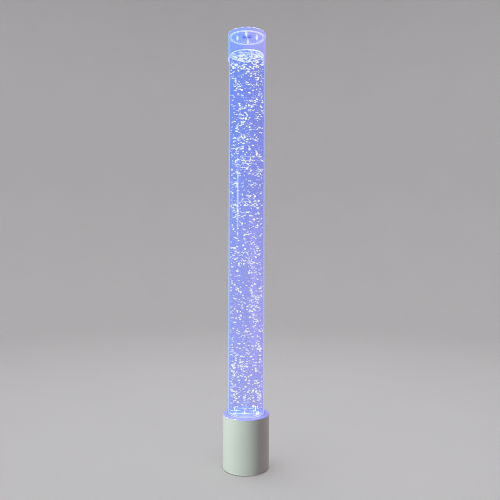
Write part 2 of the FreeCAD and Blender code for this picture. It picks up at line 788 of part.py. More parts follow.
def check_valve_top():
    """The upper half of the check valve: the cavity for the disc, and a barb."""
    body = fused([disc(VALVE_R, valve_seat, valve_top, 0, air_y),
                  disc(barb_stem_r, valve_top, valve_top + BARB_LAP, 0, air_y)])
    body = body.cut(disc(VALVE_CAVITY_R, valve_seat, valve_seat + VALVE_CAVITY, 0, air_y))
    return body.cut(disc(AIRWAY_R, valve_seat, valve_top + BARB_LAP, 0, air_y))


def check_valve_disc():
    """The loose disc that air lifts and water pushes shut."""
    return disc(VALVE_DISC_R, valve_seat + GLUE, valve_seat + GLUE + VALVE_DISC, 0, air_y)


def air_hose_upper():
    """The soft hose from the check valve up to the nozzle's barb."""
    hose_top = barb_z + BARB - GLUE
    reach = (hose_top - valve_top) / 3
    route = [
        Vec(0, air_y, valve_top),
        Vec(0, air_y, valve_top + reach),
        Vec(0, 0, hose_top - reach),
        Vec(0, 0, hose_top),
    ]
    return swept_rod(route, HOSE_R).cut(swept_rod(route, HOSE_BORE_R))


# ---- control board, inlet and button -----------------------------------------

def control_board():
    return block(-BOARD_HALF, BOARD_HALF, board_y, board_back, board_z, plug_top)


def board_parts():
    """A chip, two capacitors, a coil and the two lead sockets, on the board's front."""
    chip = block(-18, -8, board_y - 2.4, board_y, board_z + 8, board_z + 18)
    parts = [chip]
    for x in (-20.0, -9.0):
        parts.append(rod_y(4.0, board_y - 8.0, board_y, x, board_z + 29))
    parts.append(rod_y(4.5, board_y - 5.0, board_y, 2.0, board_z + 12))
    for x in (LED_PLUG_X, PUMP_PLUG_X):
        socket = block(x - PLUG_HALF, x + PLUG_HALF, board_y - PLUG_DEPTH, board_y,
                       plug_top - PLUG_HEIGHT, plug_top)
        mouth = disc(LEAD_R + GLUE, plug_top - PLUG_HEIGHT / 2, plug_top,
                     x, board_y - PLUG_DEPTH / 2)
        parts.append(socket.cut(mouth))
    return parts


def dc_jack():
    """The power inlet: a body on the board and a round nose through the wall."""
    body = block(JACK_X - JACK_HALF, JACK_X + JACK_HALF, board_back, jack_front,
                 JACK_Z - JACK_HALF, JACK_Z + JACK_HALF)
    nose_end = math.sqrt(base_r ** 2 - (abs(JACK_X) + JACK_NOSE_R) ** 2)
    nose = rod_y(JACK_NOSE_R, jack_front, nose_end, JACK_X, JACK_Z)
    bore = rod_y(JACK_BORE_R, nose_end - JACK_BORE, nose_end, JACK_X, JACK_Z)
    pin = rod_y(JACK_PIN_R, nose_end - JACK_BORE, nose_end - 1, JACK_X, JACK_Z)
    return fused([fused([body, nose]).cut(bore), pin])


def tact_switch():
    """The small switch that the button works, with a well for its plunger."""
    body = block(BUTTON_X - SWITCH_HALF, BUTTON_X + SWITCH_HALF, board_back, board_back + SWITCH,
                 JACK_Z - SWITCH_HALF, JACK_Z + SWITCH_HALF)
    well = rod_y(PLUNGER_R + SLIP, board_back + SLIP, board_back + SWITCH, BUTTON_X, JACK_Z)
    return body.cut(well)


def switch_plunger():
    return rod_y(PLUNGER_R, plunger_tip - PLUNGER, plunger_tip, BUTTON_X, JACK_Z)


def mode_button():
    """The round button: a face outside the wall, a flange and a stem inside."""
    face = rod_y(BUTTON_R, flange_face, button_face, BUTTON_X, JACK_Z)
    flange = rod_y(BUTTON_FLANGE_R, flange_face - BUTTON_FLANGE, flange_face, BUTTON_X, JACK_Z)
    stem = rod_y(BUTTON_STEM_R, plunger_tip, flange_face, BUTTON_X, JACK_Z)
    return fused([face, flange, stem])


def led_lead():
    """The lead from the light board down to its socket on the control board."""
    plug_y = board_y - PLUG_DEPTH / 2
    top_y = LED_BOARD_HOLE_R + 2 * LEAD_R
    route = [
        Vec(0, top_y, led_board_z),
        Vec(0, top_y, cradle_z - CRADLE_RIB),
        Vec(LED_PLUG_X, plug_y, plug_top + LED_LEAD_RISE),
        Vec(LED_PLUG_X, plug_y, plug_top - PLUG_HEIGHT / 2),
    ]
    return swept_rod(route, LEAD_R)


def pump_lead():
    """The lead from the coil up and over to its socket on the control board."""
    x0 = (core_x + core_end - CORE_BACK) / 2
    start = lever_mid + CORE_MID_HALF + BOBBIN + WINDING
    y0 = PUMP_Y + CORE_HALF_WIDTH + LEAD_R
    plug_y = board_y - PLUG_DEPTH / 2
    crest = lever_mid + CORE_HALF_HEIGHT + PUMP_LEAD_CREST
    route = [
        Vec(x0, y0, start),
        Vec(x0, y0, crest - LEAD_DROP),
        Vec((x0 + PUMP_PLUG_X) / 2, (y0 + plug_y) / 2, crest),
        Vec(PUMP_PLUG_X, plug_y, crest - LEAD_DROP),
        Vec(PUMP_PLUG_X, plug_y, plug_top - PLUG_HEIGHT / 2),
    ]
    return swept_rod(route, LEAD_R)


# ---- write one file per sub-part ---------------------------------------------

SUB_PARTS = [
    base_housing, bottom_cover, foot_ring, cover_screws, ballast_plate, ballast_screws,
    tube_cradle, cradle_screws, tube_gasket,
    clear_tube, tube_floor_disc, water_column, cap_sleeve, cap_disc,
    air_nozzle, nozzle_washer, nozzle_nut, diffuser_head,
    led_board, led_chips, led_lenses, led_board_screws,
    pump_frame, pump_mounts, pump_screws, pump_core, coil_bobbin, coil_winding,
    pump_lever, lever_bush, pivot_pin, lever_magnet, hub_screw,
    valve_block, pump_diaphragm, diaphragm_ring,
    air_hose_lower, check_valve_base, check_valve_top, check_valve_disc, air_hose_upper,
    control_board, board_parts, dc_jack, tact_switch, switch_plunger, mode_button,
    led_lead, pump_lead,
]


def main():
    os.makedirs("parts", exist_ok=True)
    for make in SUB_PARTS:
        shape = make()
        if isinstance(shape, list):
            shape = Part.makeCompound(shape)
        solids = shape.Solids
        whole = solids[0] if len(solids) == 1 else Part.makeCompound(solids)
        state = "ok" if whole.isValid() and len(solids) > 0 else "BAD"
        print(f"{make.__name__:18s} {len(solids)} solid(s) {whole.Volume:12.1f} mm3 {state}")
        whole.exportStep(os.path.join("parts", make.__name__ + ".step"))


main()
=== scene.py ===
# %% [markdown]
# # A bubble tube lamp
#
# The lamp is a clear tube full of water on a white drum. Lights in the drum shine
# up through the tube's clear floor, and air rises through the water as a swarm of
# bubbles. The construction is already there as a frame of solid nodes. This lesson
# adds what the eye sees: the finish of each piece, the bubbles, the churned water
# under the cap and the light that runs through the acrylic.

# %% Load the frame
import json
import math

import bpy
import numpy as np
from mathutils import Matrix, Vector


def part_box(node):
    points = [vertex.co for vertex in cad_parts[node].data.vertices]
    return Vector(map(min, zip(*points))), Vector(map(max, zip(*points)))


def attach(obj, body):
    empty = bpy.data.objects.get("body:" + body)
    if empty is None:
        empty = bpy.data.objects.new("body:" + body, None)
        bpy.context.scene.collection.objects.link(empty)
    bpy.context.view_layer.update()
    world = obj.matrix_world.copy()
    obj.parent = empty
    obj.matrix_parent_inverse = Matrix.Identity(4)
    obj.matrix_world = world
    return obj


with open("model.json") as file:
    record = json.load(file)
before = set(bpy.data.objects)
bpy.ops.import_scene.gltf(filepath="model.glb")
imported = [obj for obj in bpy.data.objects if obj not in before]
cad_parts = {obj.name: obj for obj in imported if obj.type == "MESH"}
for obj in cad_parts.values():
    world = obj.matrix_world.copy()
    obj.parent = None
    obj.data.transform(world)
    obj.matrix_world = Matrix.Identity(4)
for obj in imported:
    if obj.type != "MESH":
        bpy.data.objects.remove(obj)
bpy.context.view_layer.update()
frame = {"nodes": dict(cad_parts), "record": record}
nodes = frame["nodes"]
print("nodes in the frame:", len(nodes))

# %% [markdown]
# ## Where things are
#
# Heights and radii could be typed in again from a drawing, and would then go wrong
# when the drawing changes. Here they come from the frame's own nodes. The tube's
# axis is the frame's z axis, so a radius is simply a node's reach along x.

# %% Heights and radii
MM = 0.001


def top(node):
    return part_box(node)[1].z


def foot(node):
    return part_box(node)[0].z


def reach(node):
    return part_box(node)[1].x


CAP_TOP = top("cap_disc")
CAP_UNDER = foot("cap_disc")
CAP_R = reach("cap_disc")
BEAD_Z = foot("cap_sleeve")
TUBE_TOP = top("clear_tube")
TUBE_R = reach("clear_tube")
WATER_R = reach("water_column")
WATER_FOOT = foot("water_column")
WATER_TOP = top("water_column")
FLOOR_TOP = top("tube_floor_disc")
BASE_TOP = top("base_housing")
print(f"tube radius {TUBE_R:.4f} m, water from {WATER_FOOT:.3f} to {WATER_TOP:.3f} m")

# %% [markdown]
# ## The camera
#
# The picture was taken by a level camera at half the lamp's height, a metre and a
# half away. Its focal length in pixels gives the lens. The lamp's axis stands a few
# pixels left of the middle and leans a fraction of a degree, which is the camera's
# own roll.

# %% Camera
FRAME_PX = 500
FOCAL_PX = 530
CAMERA_BACK = 1.472
CAMERA_UP = 0.6018
CAMERA_RIGHT = 0.0098
CAMERA_ROLL = math.radians(0.16)

camera_data = bpy.data.cameras.new("camera")
camera_data.lens = camera_data.sensor_width * FOCAL_PX / FRAME_PX
camera = bpy.data.objects.new("camera", camera_data)
bpy.context.scene.collection.objects.link(camera)
camera.matrix_world = (
    Matrix.Translation((CAMERA_RIGHT, -CAMERA_BACK, CAMERA_UP))
    @ Matrix.Rotation(math.radians(90), 4, "X")
    @ Matrix.Rotation(CAMERA_ROLL, 4, "Z")
)
bpy.context.scene.camera = camera
print(f"lens {camera_data.lens:.2f} mm")

# %% [markdown]
# ## Writing materials as expressions
#
# A material is a graph of nodes. Written node by node it hides its own idea, so a
# small class wraps a socket and turns arithmetic into Math nodes. The reflected
# forms, such as `__rsub__`, let a plain number stand on the left, as in `1 - mask`.

# %% Wires
class Wire:
    """A socket whose sums, products and powers add Math nodes."""

    def __init__(self, finish, socket):
        self.finish = finish
        self.socket = socket

    def maths(self, operation, first, second=0.0):
        """A Math node. Most of them take two numbers or wires, and some only the first."""
        return self.finish.node("Math", {"operation": operation}, {0: first, 1: second})

    def out(self, name):
        """Another output of the same node."""
        return Wire(self.finish, self.socket.node.outputs[name])

    def __add__(self, other):
        return self.maths("ADD", self, other)

    def __sub__(self, other):
        return self.maths("SUBTRACT", self, other)

    def __rsub__(self, other):
        return self.maths("SUBTRACT", other, self)

    def __mul__(self, other):
        return self.maths("MULTIPLY", self, other)

    def __pow__(self, other):
        return self.maths("POWER", self, other)

    def __abs__(self):
        return self.maths("ABSOLUTE", self)

    __radd__ = __add__
    __rmul__ = __mul__


print("a wire can be added, taken away, multiplied, raised to a power and made positive")

# %% [markdown]
# Every other kind of node comes from one method. It takes the node's type, its
# settings, and the values or wires of its sockets. Settings go first, because some
# of them change which sockets a node has.

# %% Graphs
finishes = {}


class Graph:
    """The nodes of a material under construction."""

    def __init__(self, name):
        self.name = name
        self.material = bpy.data.materials.new(name)
        self.material.use_nodes = True
        self.tree = self.material.node_tree
        self.tree.nodes.clear()

    def node(self, kind, settings=None, sockets=None, output=0):
        """Adds a node, sets it up, feeds its sockets and returns one of its outputs."""
        made = self.tree.nodes.new("ShaderNode" + kind)
        for name, value in (settings or {}).items():
            setattr(made, name, value)
        for name, value in (sockets or {}).items():
            if isinstance(value, Wire):
                self.tree.links.new(value.socket, made.inputs[name])
            else:
                made.inputs[name].default_value = value
        return Wire(self, made.outputs[output]) if made.outputs else None

    def done(self, shader):
        """Ends the graph and files the material under its name."""
        self.node("OutputMaterial", {}, {"Surface": shader})
        finishes[self.name] = self.material
        print(f"finish {self.name}: {len(self.tree.nodes)} nodes")


print("finishes so far:", len(finishes))

# %% [markdown]
# A finish mostly asks where a point is and turns the answer into a mask between 0
# and 1. Painted masks would need an unwrapped surface for every piece. Masks that
# are worked out from a point's place need none, and stay sharp at any distance.

# %% Masks
class Masks(Graph):
    """Numbers that vary over a surface."""

    def place(self):
        """Where a point lies in its piece's own frame."""
        return self.node("TexCoord", output="Object")

    def axes(self):
        """x, y and z of a point, and its distance from the tube's axis."""
        x = self.node("SeparateXYZ", {}, {0: self.place()}, "X")
        y, z = x.out("Y"), x.out("Z")
        return x, y, z, (x * x + y * y) ** 0.5

    def rise(self, value, start, end):
        """0 up to start, 1 from end on, and a smooth rise between them."""
        limits = {"Value": value, "From Min": start, "From Max": end}
        return self.node("MapRange", {"interpolation_type": "SMOOTHSTEP"}, limits)

    def band(self, value, middle, half, soft):
        """1 within half of the middle, and 0 beyond that and a soft edge."""
        return 1 - self.rise(abs(value - middle), half, half + soft)

    def clouds(self, per_metre, detail=2.0, stretch=(1, 1, 1)):
        """A cloudy number that mostly lies between 0.3 and 0.7."""
        spot = self.node("Mapping", {}, {"Vector": self.place(), "Scale": stretch})
        return self.node("TexNoise", {}, {"Vector": spot, "Scale": per_metre, "Detail": detail})

    def turned_away(self):
        """0 where a face is seen straight on, 1 where it is seen edge-on."""
        return self.node("LayerWeight", {}, {"Blend": 0.5}, "Facing")


print("masks: place, axes, rise, band, clouds and turned_away")

# %% [markdown]
# Colours can't go through Math nodes, which would turn them grey. They are mixed
# and scaled by nodes of their own, and end in the main shader. Blender's Mix node
# has sockets for numbers, vectors and colours side by side, so the ones for colours
# are picked by their places.

# %% Colours and shaders
MIX_SHARE = 0
MIX_FIRST = 6
MIX_SECOND = 7
MIX_RESULT = 2


def rgba(value):
    """A socket for a colour wants a fourth number. Numbers and wires stay as they are."""
    return (*value, 1) if isinstance(value, tuple) else value


class Finish(Masks):
    """A material with colours and shaders."""

    def mix(self, share, first, second):
        """A colour between two colours."""
        sockets = {MIX_SHARE: share, MIX_FIRST: rgba(first), MIX_SECOND: rgba(second)}
        return self.node("Mix", {"data_type": "RGBA"}, sockets, MIX_RESULT)

    def scaled(self, colour, number):
        return self.node("VectorMath", {"operation": "SCALE"}, {0: colour, "Scale": number})

    def bump(self, height, depth):
        return self.node("Bump", {}, {"Height": height, "Distance": depth})

    def skin(self, **sockets):
        """The main shader. An underscore stands for the space in a socket's name."""
        named = {name.replace("_", " "): rgba(value) for name, value in sockets.items()}
        return self.node("BsdfPrincipled", {}, named)

    def blend(self, share, first, second):
        """One shader over another."""
        return self.node("MixShader", {}, {0: share, 1: first, 2: second})


print("a finish ends in", Finish.skin.__name__, "or", Finish.blend.__name__)

# %% [markdown]
# ## The white drum
#
# The drum is injection-moulded plastic with a satin skin: white, a little uneven in
# tone, with a fine grain that softens its shine. Its lowest few millimetres are
# painted paler, as a painted highlight where the edge catches light from the floor.
# Its top is flooded by the light that leaves the tube, so that the flat ring there
# reads as lilac. A strong lamp inside the drum would give that light too, but would
# also need many samples, so the ring carries it as painted light, in its colour and
# as a glow, that ends where the edge rounds over. Next to the tube that painted light
# is darker, as painted shade of the tube. A clear coat on the ring gives it a soft
# mirror of the tube.

# %% Drum finish
DRUM_TONES = (0.332, 0.316, 0.304), (0.378, 0.359, 0.347)
# Painted highlight at the foot, painted light on the top ring and painted shade next to the tube:
PAINTED_FOOT_HIGHLIGHT = (0.52, 0.45, 0.41)
PAINTED_RING_LIGHT_TONE = (0.16, 0.16, 0.37)
PAINTED_RING_LIGHT_GLOW = (0.13, 0.14, 0.52)
TUBE_SHADE_TONE = (0.10, 0.07, 0.32)
TUBE_SHADE_GLOW = (0.08, 0.06, 0.42)
GRAIN_DEPTH = 0.02 * MM


def drum_white():
    f = Finish("base_white")
    x, y, z, r = f.axes()
    grain = f.clouds(1400, 2)
    # The lowest few millimetres get a painted highlight, paler, as light from the floor.
    foot_highlight = 1 - f.rise(z, 1.5 * MM, 4.0 * MM)
    plastic = f.mix(0.7 * foot_highlight, f.mix(f.clouds(9, 3), *DRUM_TONES), PAINTED_FOOT_HIGHLIGHT)
    # The top ring is painted lilac, in its colour and as a glow, as the tube's light on it.
    lit = f.rise(z, BASE_TOP - 3.2 * MM, BASE_TOP - 1.2 * MM)
    coat = f.rise(z, BASE_TOP - 5 * MM, BASE_TOP - 3 * MM)
    # Next to the tube the ring's painted light is darker, as painted shade.
    tube_shade = 1 - f.rise(r, TUBE_R + 0.4 * MM, TUBE_R + 4.0 * MM)
    f.done(f.skin(
        Base_Color=f.mix(lit, plastic, f.mix(tube_shade, PAINTED_RING_LIGHT_TONE, TUBE_SHADE_TONE)),
        Roughness=0.34 + 0.16 * grain,
        Emission_Color=f.mix(lit, (0, 0, 0), f.mix(tube_shade, PAINTED_RING_LIGHT_GLOW, TUBE_SHADE_GLOW)),
        Emission_Strength=1.0,
        Coat_Weight=0.9 * coat,
        Coat_Roughness=0.16,
        Normal=f.bump(grain, GRAIN_DEPTH),
    ))


drum_white()

# %% [markdown]
# ## Clear acrylic
#
# The tube, the cap and the tube's floor are clear acrylic. Real glass shaders bend
# every ray, which needs many samples and loses the light that fills the lamp. The
# acrylic here is a film instead: mostly transparent, and glowing with the light
# that it passes on. Light from the left chips is bluer than light from the right.

# %% Film and its colours
LEFT_LIGHT = (0.14, 0.33, 1.12)
RIGHT_LIGHT = (0.35, 0.35, 1.06)
EDGE_LIGHT = (0.80, 0.86, 1.0)
# A violet light, painted under the cap's disc and on the right of its seat.
PAINTED_VIOLET_LIGHT = (0.72, 0.52, 0.98)
FILM_TONE = (0.02, 0.03, 0.06)


def side_tint(f, x, left=LEFT_LIGHT, right=RIGHT_LIGHT):
    """A colour that turns from the left one to the right one across the tube."""
    return f.mix(f.rise(x, -TUBE_R, TUBE_R), left, right)


def film(f, solid, light, strength=1.0):
    """A film that glows with a colour, as solid as the number given."""
    glow = f.skin(
        Base_Color=FILM_TONE, Roughness=0.1, Specular_IOR_Level=0.0,
        Emission_Color=light, Emission_Strength=strength,
    )
    return f.blend(solid, f.node("BsdfTransparent"), glow)


print("light on the left", LEFT_LIGHT, "and on the right", RIGHT_LIGHT)

# %% [markdown]
# A clear tube shows its outline for two reasons. At each side the line of sight runs
# inside the wall's thickness, which makes a pale strip, painted here as a brighter
# glow. And the outer face mirrors the room, strongly edge-on and weakly in the
# middle, where one upright reflection of a studio lamp still shows. The mirror's
# normal is worked out from the axis, so that the tube's flat facets don't break the
# reflection.

# %% Wall strips and the mirror
# Colours of the painted glow in the pale strip at each side of a wall.
WALL_GLOW_LEFT = (0.34, 0.55, 1.0)
WALL_GLOW_RIGHT = (0.37, 0.43, 1.0)
ACRYLIC_IOR = 1.49
MIRROR_ROUGHNESS = 0.19
MIRROR_SHARE = 0.09
MIRROR_SHARE_ON_STRIP = 0.46


def wall_strip(f, r, outer_r, start):
    """Two masks: the strip at each side, and the outer face."""
    outer = f.rise(r, outer_r - 1.4 * MM, outer_r - 0.9 * MM)
    return f.rise(f.turned_away(), start, start + 0.12) * outer, outer


def mirrored(f, body, strip, outer, x, y):
    """Lays the outer face's mirror over the film."""
    from_axis = f.node("CombineXYZ", {}, {"X": x, "Y": y})
    outward = f.node("VectorMath", {"operation": "NORMALIZE"}, {0: from_axis})
    mirror = f.skin(
        Base_Color=(1, 1, 1), Metallic=1.0, Roughness=MIRROR_ROUGHNESS, Normal=outward,
    )
    share = MIRROR_SHARE + MIRROR_SHARE_ON_STRIP * strip
    gloss = f.node("Fresnel", {}, {"IOR": ACRYLIC_IOR}) * outer * share
    outside = 1 - f.node("NewGeometry", output="Backfacing")
    return f.blend(gloss * outside, body, mirror)


print("mirror roughness", MIRROR_ROUGHNESS)

# %% [markdown]
# ## The tube's finish
#
# Under water the wall hardly shows, since acrylic and water bend light nearly
# alike. Above the water it does. Its cut end carries the light that runs inside the
# wall, and shines. Below the cap's disc on the right, violet light is painted into
# the wall's glow.

# %% Tube finish
def clear_tube():
    f = Finish("tube_clear")
    x, y, z, r = f.axes()
    end = f.rise(z, TUBE_TOP - 0.7 * MM, TUBE_TOP - 0.2 * MM)
    air = f.rise(z, WATER_TOP - 1 * MM, WATER_TOP + 4 * MM)
    low = 1 - f.rise(z, BASE_TOP, WATER_TOP)
    strip, outer = wall_strip(f, r, TUBE_R, 0.60)
    # The pale strip at each side is painted as a brighter glow, stronger low down.
    wall = f.scaled(side_tint(f, x, WALL_GLOW_LEFT, WALL_GLOW_RIGHT), 1 + 0.15 * low)
    # Violet light is painted under the cap's disc, on the right.
    under_disc = f.band(z, CAP_UNDER - 5 * MM, 3 * MM, 6 * MM)
    violet_light = under_disc * f.rise(x, -20 * MM, 15 * MM) * 0.6
    inside = f.mix(violet_light, side_tint(f, x), PAINTED_VIOLET_LIGHT)
    light = f.mix(end, f.mix(strip, inside, wall), EDGE_LIGHT)
    solid = 0.02 + 0.13 * air + 0.65 * strip
    body = film(f, solid * (1 - end) + 0.6 * end, light)
    f.done(mirrored(f, body, strip, outer, x, y))


clear_tube()

# %% [markdown]
# ## The cap's finish
#
# The cap is a sleeve with a thick disc in it. The disc's seat on the tube is painted
# as a bright ring of light, paler on the right, and its upper rim as a faint painted
# line of light. The bead at the sleeve's mouth has a painted highlight on its left,
# and the disc's own glow is painted a little brighter. Down in the two vents no light
# comes back, so that their lower part, and a thin ring round them, are painted dark
# as shade.

# %% Cap finish
VENT_X = 7.5 * MM
VENT_R = 4.5 * MM
SEAT_HALF_WIDTH = 3.0 * MM
SEAT_LIGHT = (0.46, 0.64, 1.05)
# Painted shade in the vents.
VENT_PAINTED_SHADE = (0.0, 0.01, 0.20)
RIM_SOLID = 0.12
SEAT_SOLID = 0.70


def vent_shade(f, x, y, z):
    """Painted shade: the lower part of the two vents and a thin ring round them."""
    across = abs(x) - VENT_X
    from_vent = (across * across + y * y) ** 0.5
    mouth = 1 - f.rise(z, CAP_UNDER + 5.0 * MM, CAP_UNDER + 6.5 * MM)
    return mouth * (1 - f.rise(from_vent, VENT_R + 0.8 * MM, VENT_R + 1.4 * MM))


def cap_acrylic():
    f = Finish("cap_clear")
    x, y, z, r = f.axes()
    # The upper rim is a faint line of painted light.
    rim = f.rise(z, CAP_TOP - 1.0 * MM, CAP_TOP - 0.2 * MM)
    rim = rim * f.rise(r, CAP_R - 1.4 * MM, CAP_R - 0.6 * MM)
    bead = f.rise(r, TUBE_R, TUBE_R + 1 * MM)
    bead = bead * (1 - f.rise(z, BEAD_Z + 2.6 * MM, BEAD_Z + 3.2 * MM))
    # The bead's left side has a painted highlight.
    lip_highlight = bead * (1 - f.rise(x, -51 * MM, -40 * MM))
    disc = f.rise(z, CAP_UNDER - 0.3 * MM, CAP_UNDER)
    under = f.band(z, CAP_UNDER, 0.2 * MM, 0.1 * MM)
    # The seat is a bright ring of painted light.
    seat = under * f.band(r, TUBE_R - SEAT_HALF_WIDTH, SEAT_HALF_WIDTH, 0.3 * MM)
    # The vents' lower part is painted dark, as shade.
    hole = vent_shade(f, x, y, z)
    strip, outer = wall_strip(f, r, CAP_R, 0.70)
    wall = f.mix(strip, side_tint(f, x), side_tint(f, x, WALL_GLOW_LEFT, WALL_GLOW_RIGHT))
    pale = f.mix(f.rise(x, -8 * MM, 18 * MM), SEAT_LIGHT, PAINTED_VIOLET_LIGHT)
    light = f.mix(hole, f.mix(rim, f.mix(seat, wall, pale), EDGE_LIGHT), VENT_PAINTED_SHADE)
    # The disc's glow is painted a little brighter.
    light = f.mix(lip_highlight, f.scaled(light, 1 + 0.2 * disc), EDGE_LIGHT)
    solid = 0.15 + 0.18 * disc + (0.45 + 0.4 * bead) * strip + 0.14 * bead + 0.3 * lip_highlight
    solid = solid * (1 - rim) + RIM_SOLID * rim
    solid = solid * (1 - seat) + SEAT_SOLID * seat
    body = film(f, solid * (1 - hole) + hole, light)
    f.done(mirrored(f, body, strip, outer, x, y))


cap_acrylic()

# %% [markdown]
# ## The clear floor's finish
#
# The floor lies right over the chips and is the brightest piece, and its glow is
# painted light. Its front half is painted nearly white, its back half a deep blue,
# and a swirl keeps either from looking printed. Only its upper face is that bright:
# its edge is seen through the tube's foot and passes on ordinary light.

# %% Floor finish
FAR_LIGHTS = (0.10, 0.62, 1.5), (0.20, 0.85, 1.7)
NEAR_LIGHTS = (0.85, 1.3, 1.9), (1.2, 1.7, 2.1)
FLOOR_EDGE_LIGHT = (0.34, 0.42, 0.95)
FLOOR_SOLID = 0.62


def floor_acrylic():
    f = Finish("floor_clear")
    x, y, z, r = f.axes()
    swirl = f.clouds(60, 3)
    # The front half's glow is painted brighter than the back half's.
    front = 1 - f.rise(y, -24 * MM, 6 * MM)
    upper = f.rise(z, FLOOR_TOP - 0.6 * MM, FLOOR_TOP - 0.1 * MM)
    face = f.mix(front, f.mix(swirl, *FAR_LIGHTS), f.mix(swirl, *NEAR_LIGHTS))
    f.done(film(f, FLOOR_SOLID, f.mix(upper, FLOOR_EDGE_LIGHT, face)))


floor_acrylic()

# %% [markdown]
# ## Water full of light
#
# The water scatters the light of the chips, bluer at the top and on the left, more
# lilac low down and on the right. A volume shader would be truer and far slower. It
# is one more film, whose glow is that light painted in, and because a line of sight
# crosses it twice, each crossing only needs half of the colour. Where the swarm is
# densest, right of the middle, the water's painted glow is a little paler.

# %% Water finish
BLUE_HIGH_LOW = (0.085, 0.19, 0.89), (0.25, 0.285, 0.87)
LILAC_HIGH_LOW = (0.155, 0.20, 0.82), (0.31, 0.30, 0.86)
ALL_LOW_Z = 0.42
ALL_HIGH_Z = 1.0
PALE_X = 20 * MM
PALE_Z = 0.48


def lit_water():
    f = Finish("water")
    x, y, z, r = f.axes()
    drift = f.clouds(16, 3, (1, 1, 0.35))
    low = 1 - f.rise(z, ALL_LOW_Z, ALL_HIGH_Z)
    across = f.rise(x, -WATER_R, WATER_R)
    colour = f.mix(across, f.mix(low, *BLUE_HIGH_LOW), f.mix(low, *LILAC_HIGH_LOW))
    # A slightly paler painted glow right of the middle.
    column = f.band(x, PALE_X, 4 * MM, 9 * MM) * f.band(z, PALE_Z, 0.12, 0.12)
    light = f.scaled(colour, 0.82 + 0.36 * drift + 0.16 * column)
    f.done(film(f, 0.50 + 0.15 * f.turned_away() ** 5.0, light))


lit_water()

# %% [markdown]
# ## Ordinary plastics, rubbers and metals
#
# The pieces inside the drum share a few recipes, so that each kind of stuff is
# described once. A moulded plastic has a cloudy tone and a fine grain, and a rubber
# is rougher. A metal is brushed or ground along one direction, which is the same
# grain stretched into lines.

# %% Moulded and brushed
def shade(colour, share):
    """A colour made darker or paler, but never paler than white."""
    return tuple(min(1.0, part * share) for part in colour)


def moulded(name, colour, roughness=0.45, grain=900, depth=0.02):
    f = Finish(name)
    tone = f.clouds(25, 3)
    speck = f.clouds(grain, 2)
    f.done(f.skin(
        Base_Color=f.mix(tone, shade(colour, 0.86), shade(colour, 1.1)),
        Roughness=roughness - 0.1 + 0.2 * speck,
        Normal=f.bump(speck, depth * MM),
    ))


def brushed(name, colour, roughness=0.3, along=(1, 1, 12)):
    f = Finish(name)
    tone = f.clouds(40, 2)
    lines = f.clouds(700, 2, along)
    f.done(f.skin(
        Base_Color=f.mix(tone, shade(colour, 0.85), shade(colour, 1.08)),
        Metallic=1.0,
        Roughness=roughness - 0.1 + 0.25 * lines,
        Normal=f.bump(lines, 0.01 * MM),
    ))


print("a shade of white:", shade((1.0, 1.0, 1.0), 0.86))

# %% [markdown]
# A stack of laminations and a winding are both rows of thin ridges, and a wave
# texture draws them as such. A circuit board is a lacquer over copper tracks. The
# edges of square cells look like tracks, and are raised a little, as they are under
# real lacquer.

# %% Striped and printed
def striped(name, colour, groove, direction, scale, roughness):
    """Metal bands across one direction: laminations, or the turns of a winding."""
    f = Finish(name)
    sockets = {"Vector": f.place(), "Scale": scale}
    wave = f.node("TexWave", {"bands_direction": direction}, sockets).out("Fac")
    f.done(f.skin(
        Base_Color=f.mix(wave, groove, colour),
        Metallic=1.0,
        Roughness=roughness + 0.15 * f.clouds(300),
        Normal=f.bump(wave, 0.08 * MM),
    ))


def printed_board(name, mask, track):
    """Lacquer over copper tracks, which show as slightly raised paler lines."""
    f = Finish(name)
    settings = {"feature": "DISTANCE_TO_EDGE", "distance": "MANHATTAN"}
    cells = f.node("TexVoronoi", settings, {"Vector": f.place(), "Scale": 260.0})
    line = 1 - f.rise(cells, 0.05, 0.10)
    f.done(f.skin(
        Base_Color=f.mix(line, mask, track),
        Roughness=0.25 + 0.15 * f.clouds(200),
        Normal=f.bump(line, 0.03 * MM),
    ))


print("recipes:", moulded.__name__, brushed.__name__, striped.__name__, printed_board.__name__)

# %% [markdown]
# The nozzle, the chips and the lenses stand in the light itself. They are gloss
# plastic, or a film as the acrylic is, and glow a little unevenly. On the nozzle and
# the lenses that glow is painted light from the chips.

# %% Lit pieces
LENS_LIGHTS = (0.45, 0.62, 1.0), (0.95, 0.97, 1.0)


def lit_plastic(name, colour, light):
    f = Finish(name)
    tone = f.clouds(60, 2)
    f.done(f.skin(
        Base_Color=f.mix(tone, shade(colour, 0.9), colour),
        Roughness=0.25 + 0.1 * tone,
        Emission_Color=f.mix(tone, shade(light, 0.75), light),
        Emission_Strength=1.0,
    ))


def lens_acrylic():
    f = Finish("lens_clear")
    light = f.mix(f.clouds(300, 2), *LENS_LIGHTS)
    f.done(film(f, 0.35 + 0.4 * f.turned_away() ** 2.0, light))


lens_acrylic()
# The nozzle's glow is painted light from the chips.
lit_plastic("nozzle_white", (0.85, 0.87, 0.92), (0.16, 0.30, 0.80))
lit_plastic("light_chip", (0.95, 0.95, 0.90), (0.80, 0.85, 1.0))

# %% [markdown]
# Now each recipe is used. A finish has the name of the material slot that it is
# for, and its colour and roughness are the ones that such a piece has.

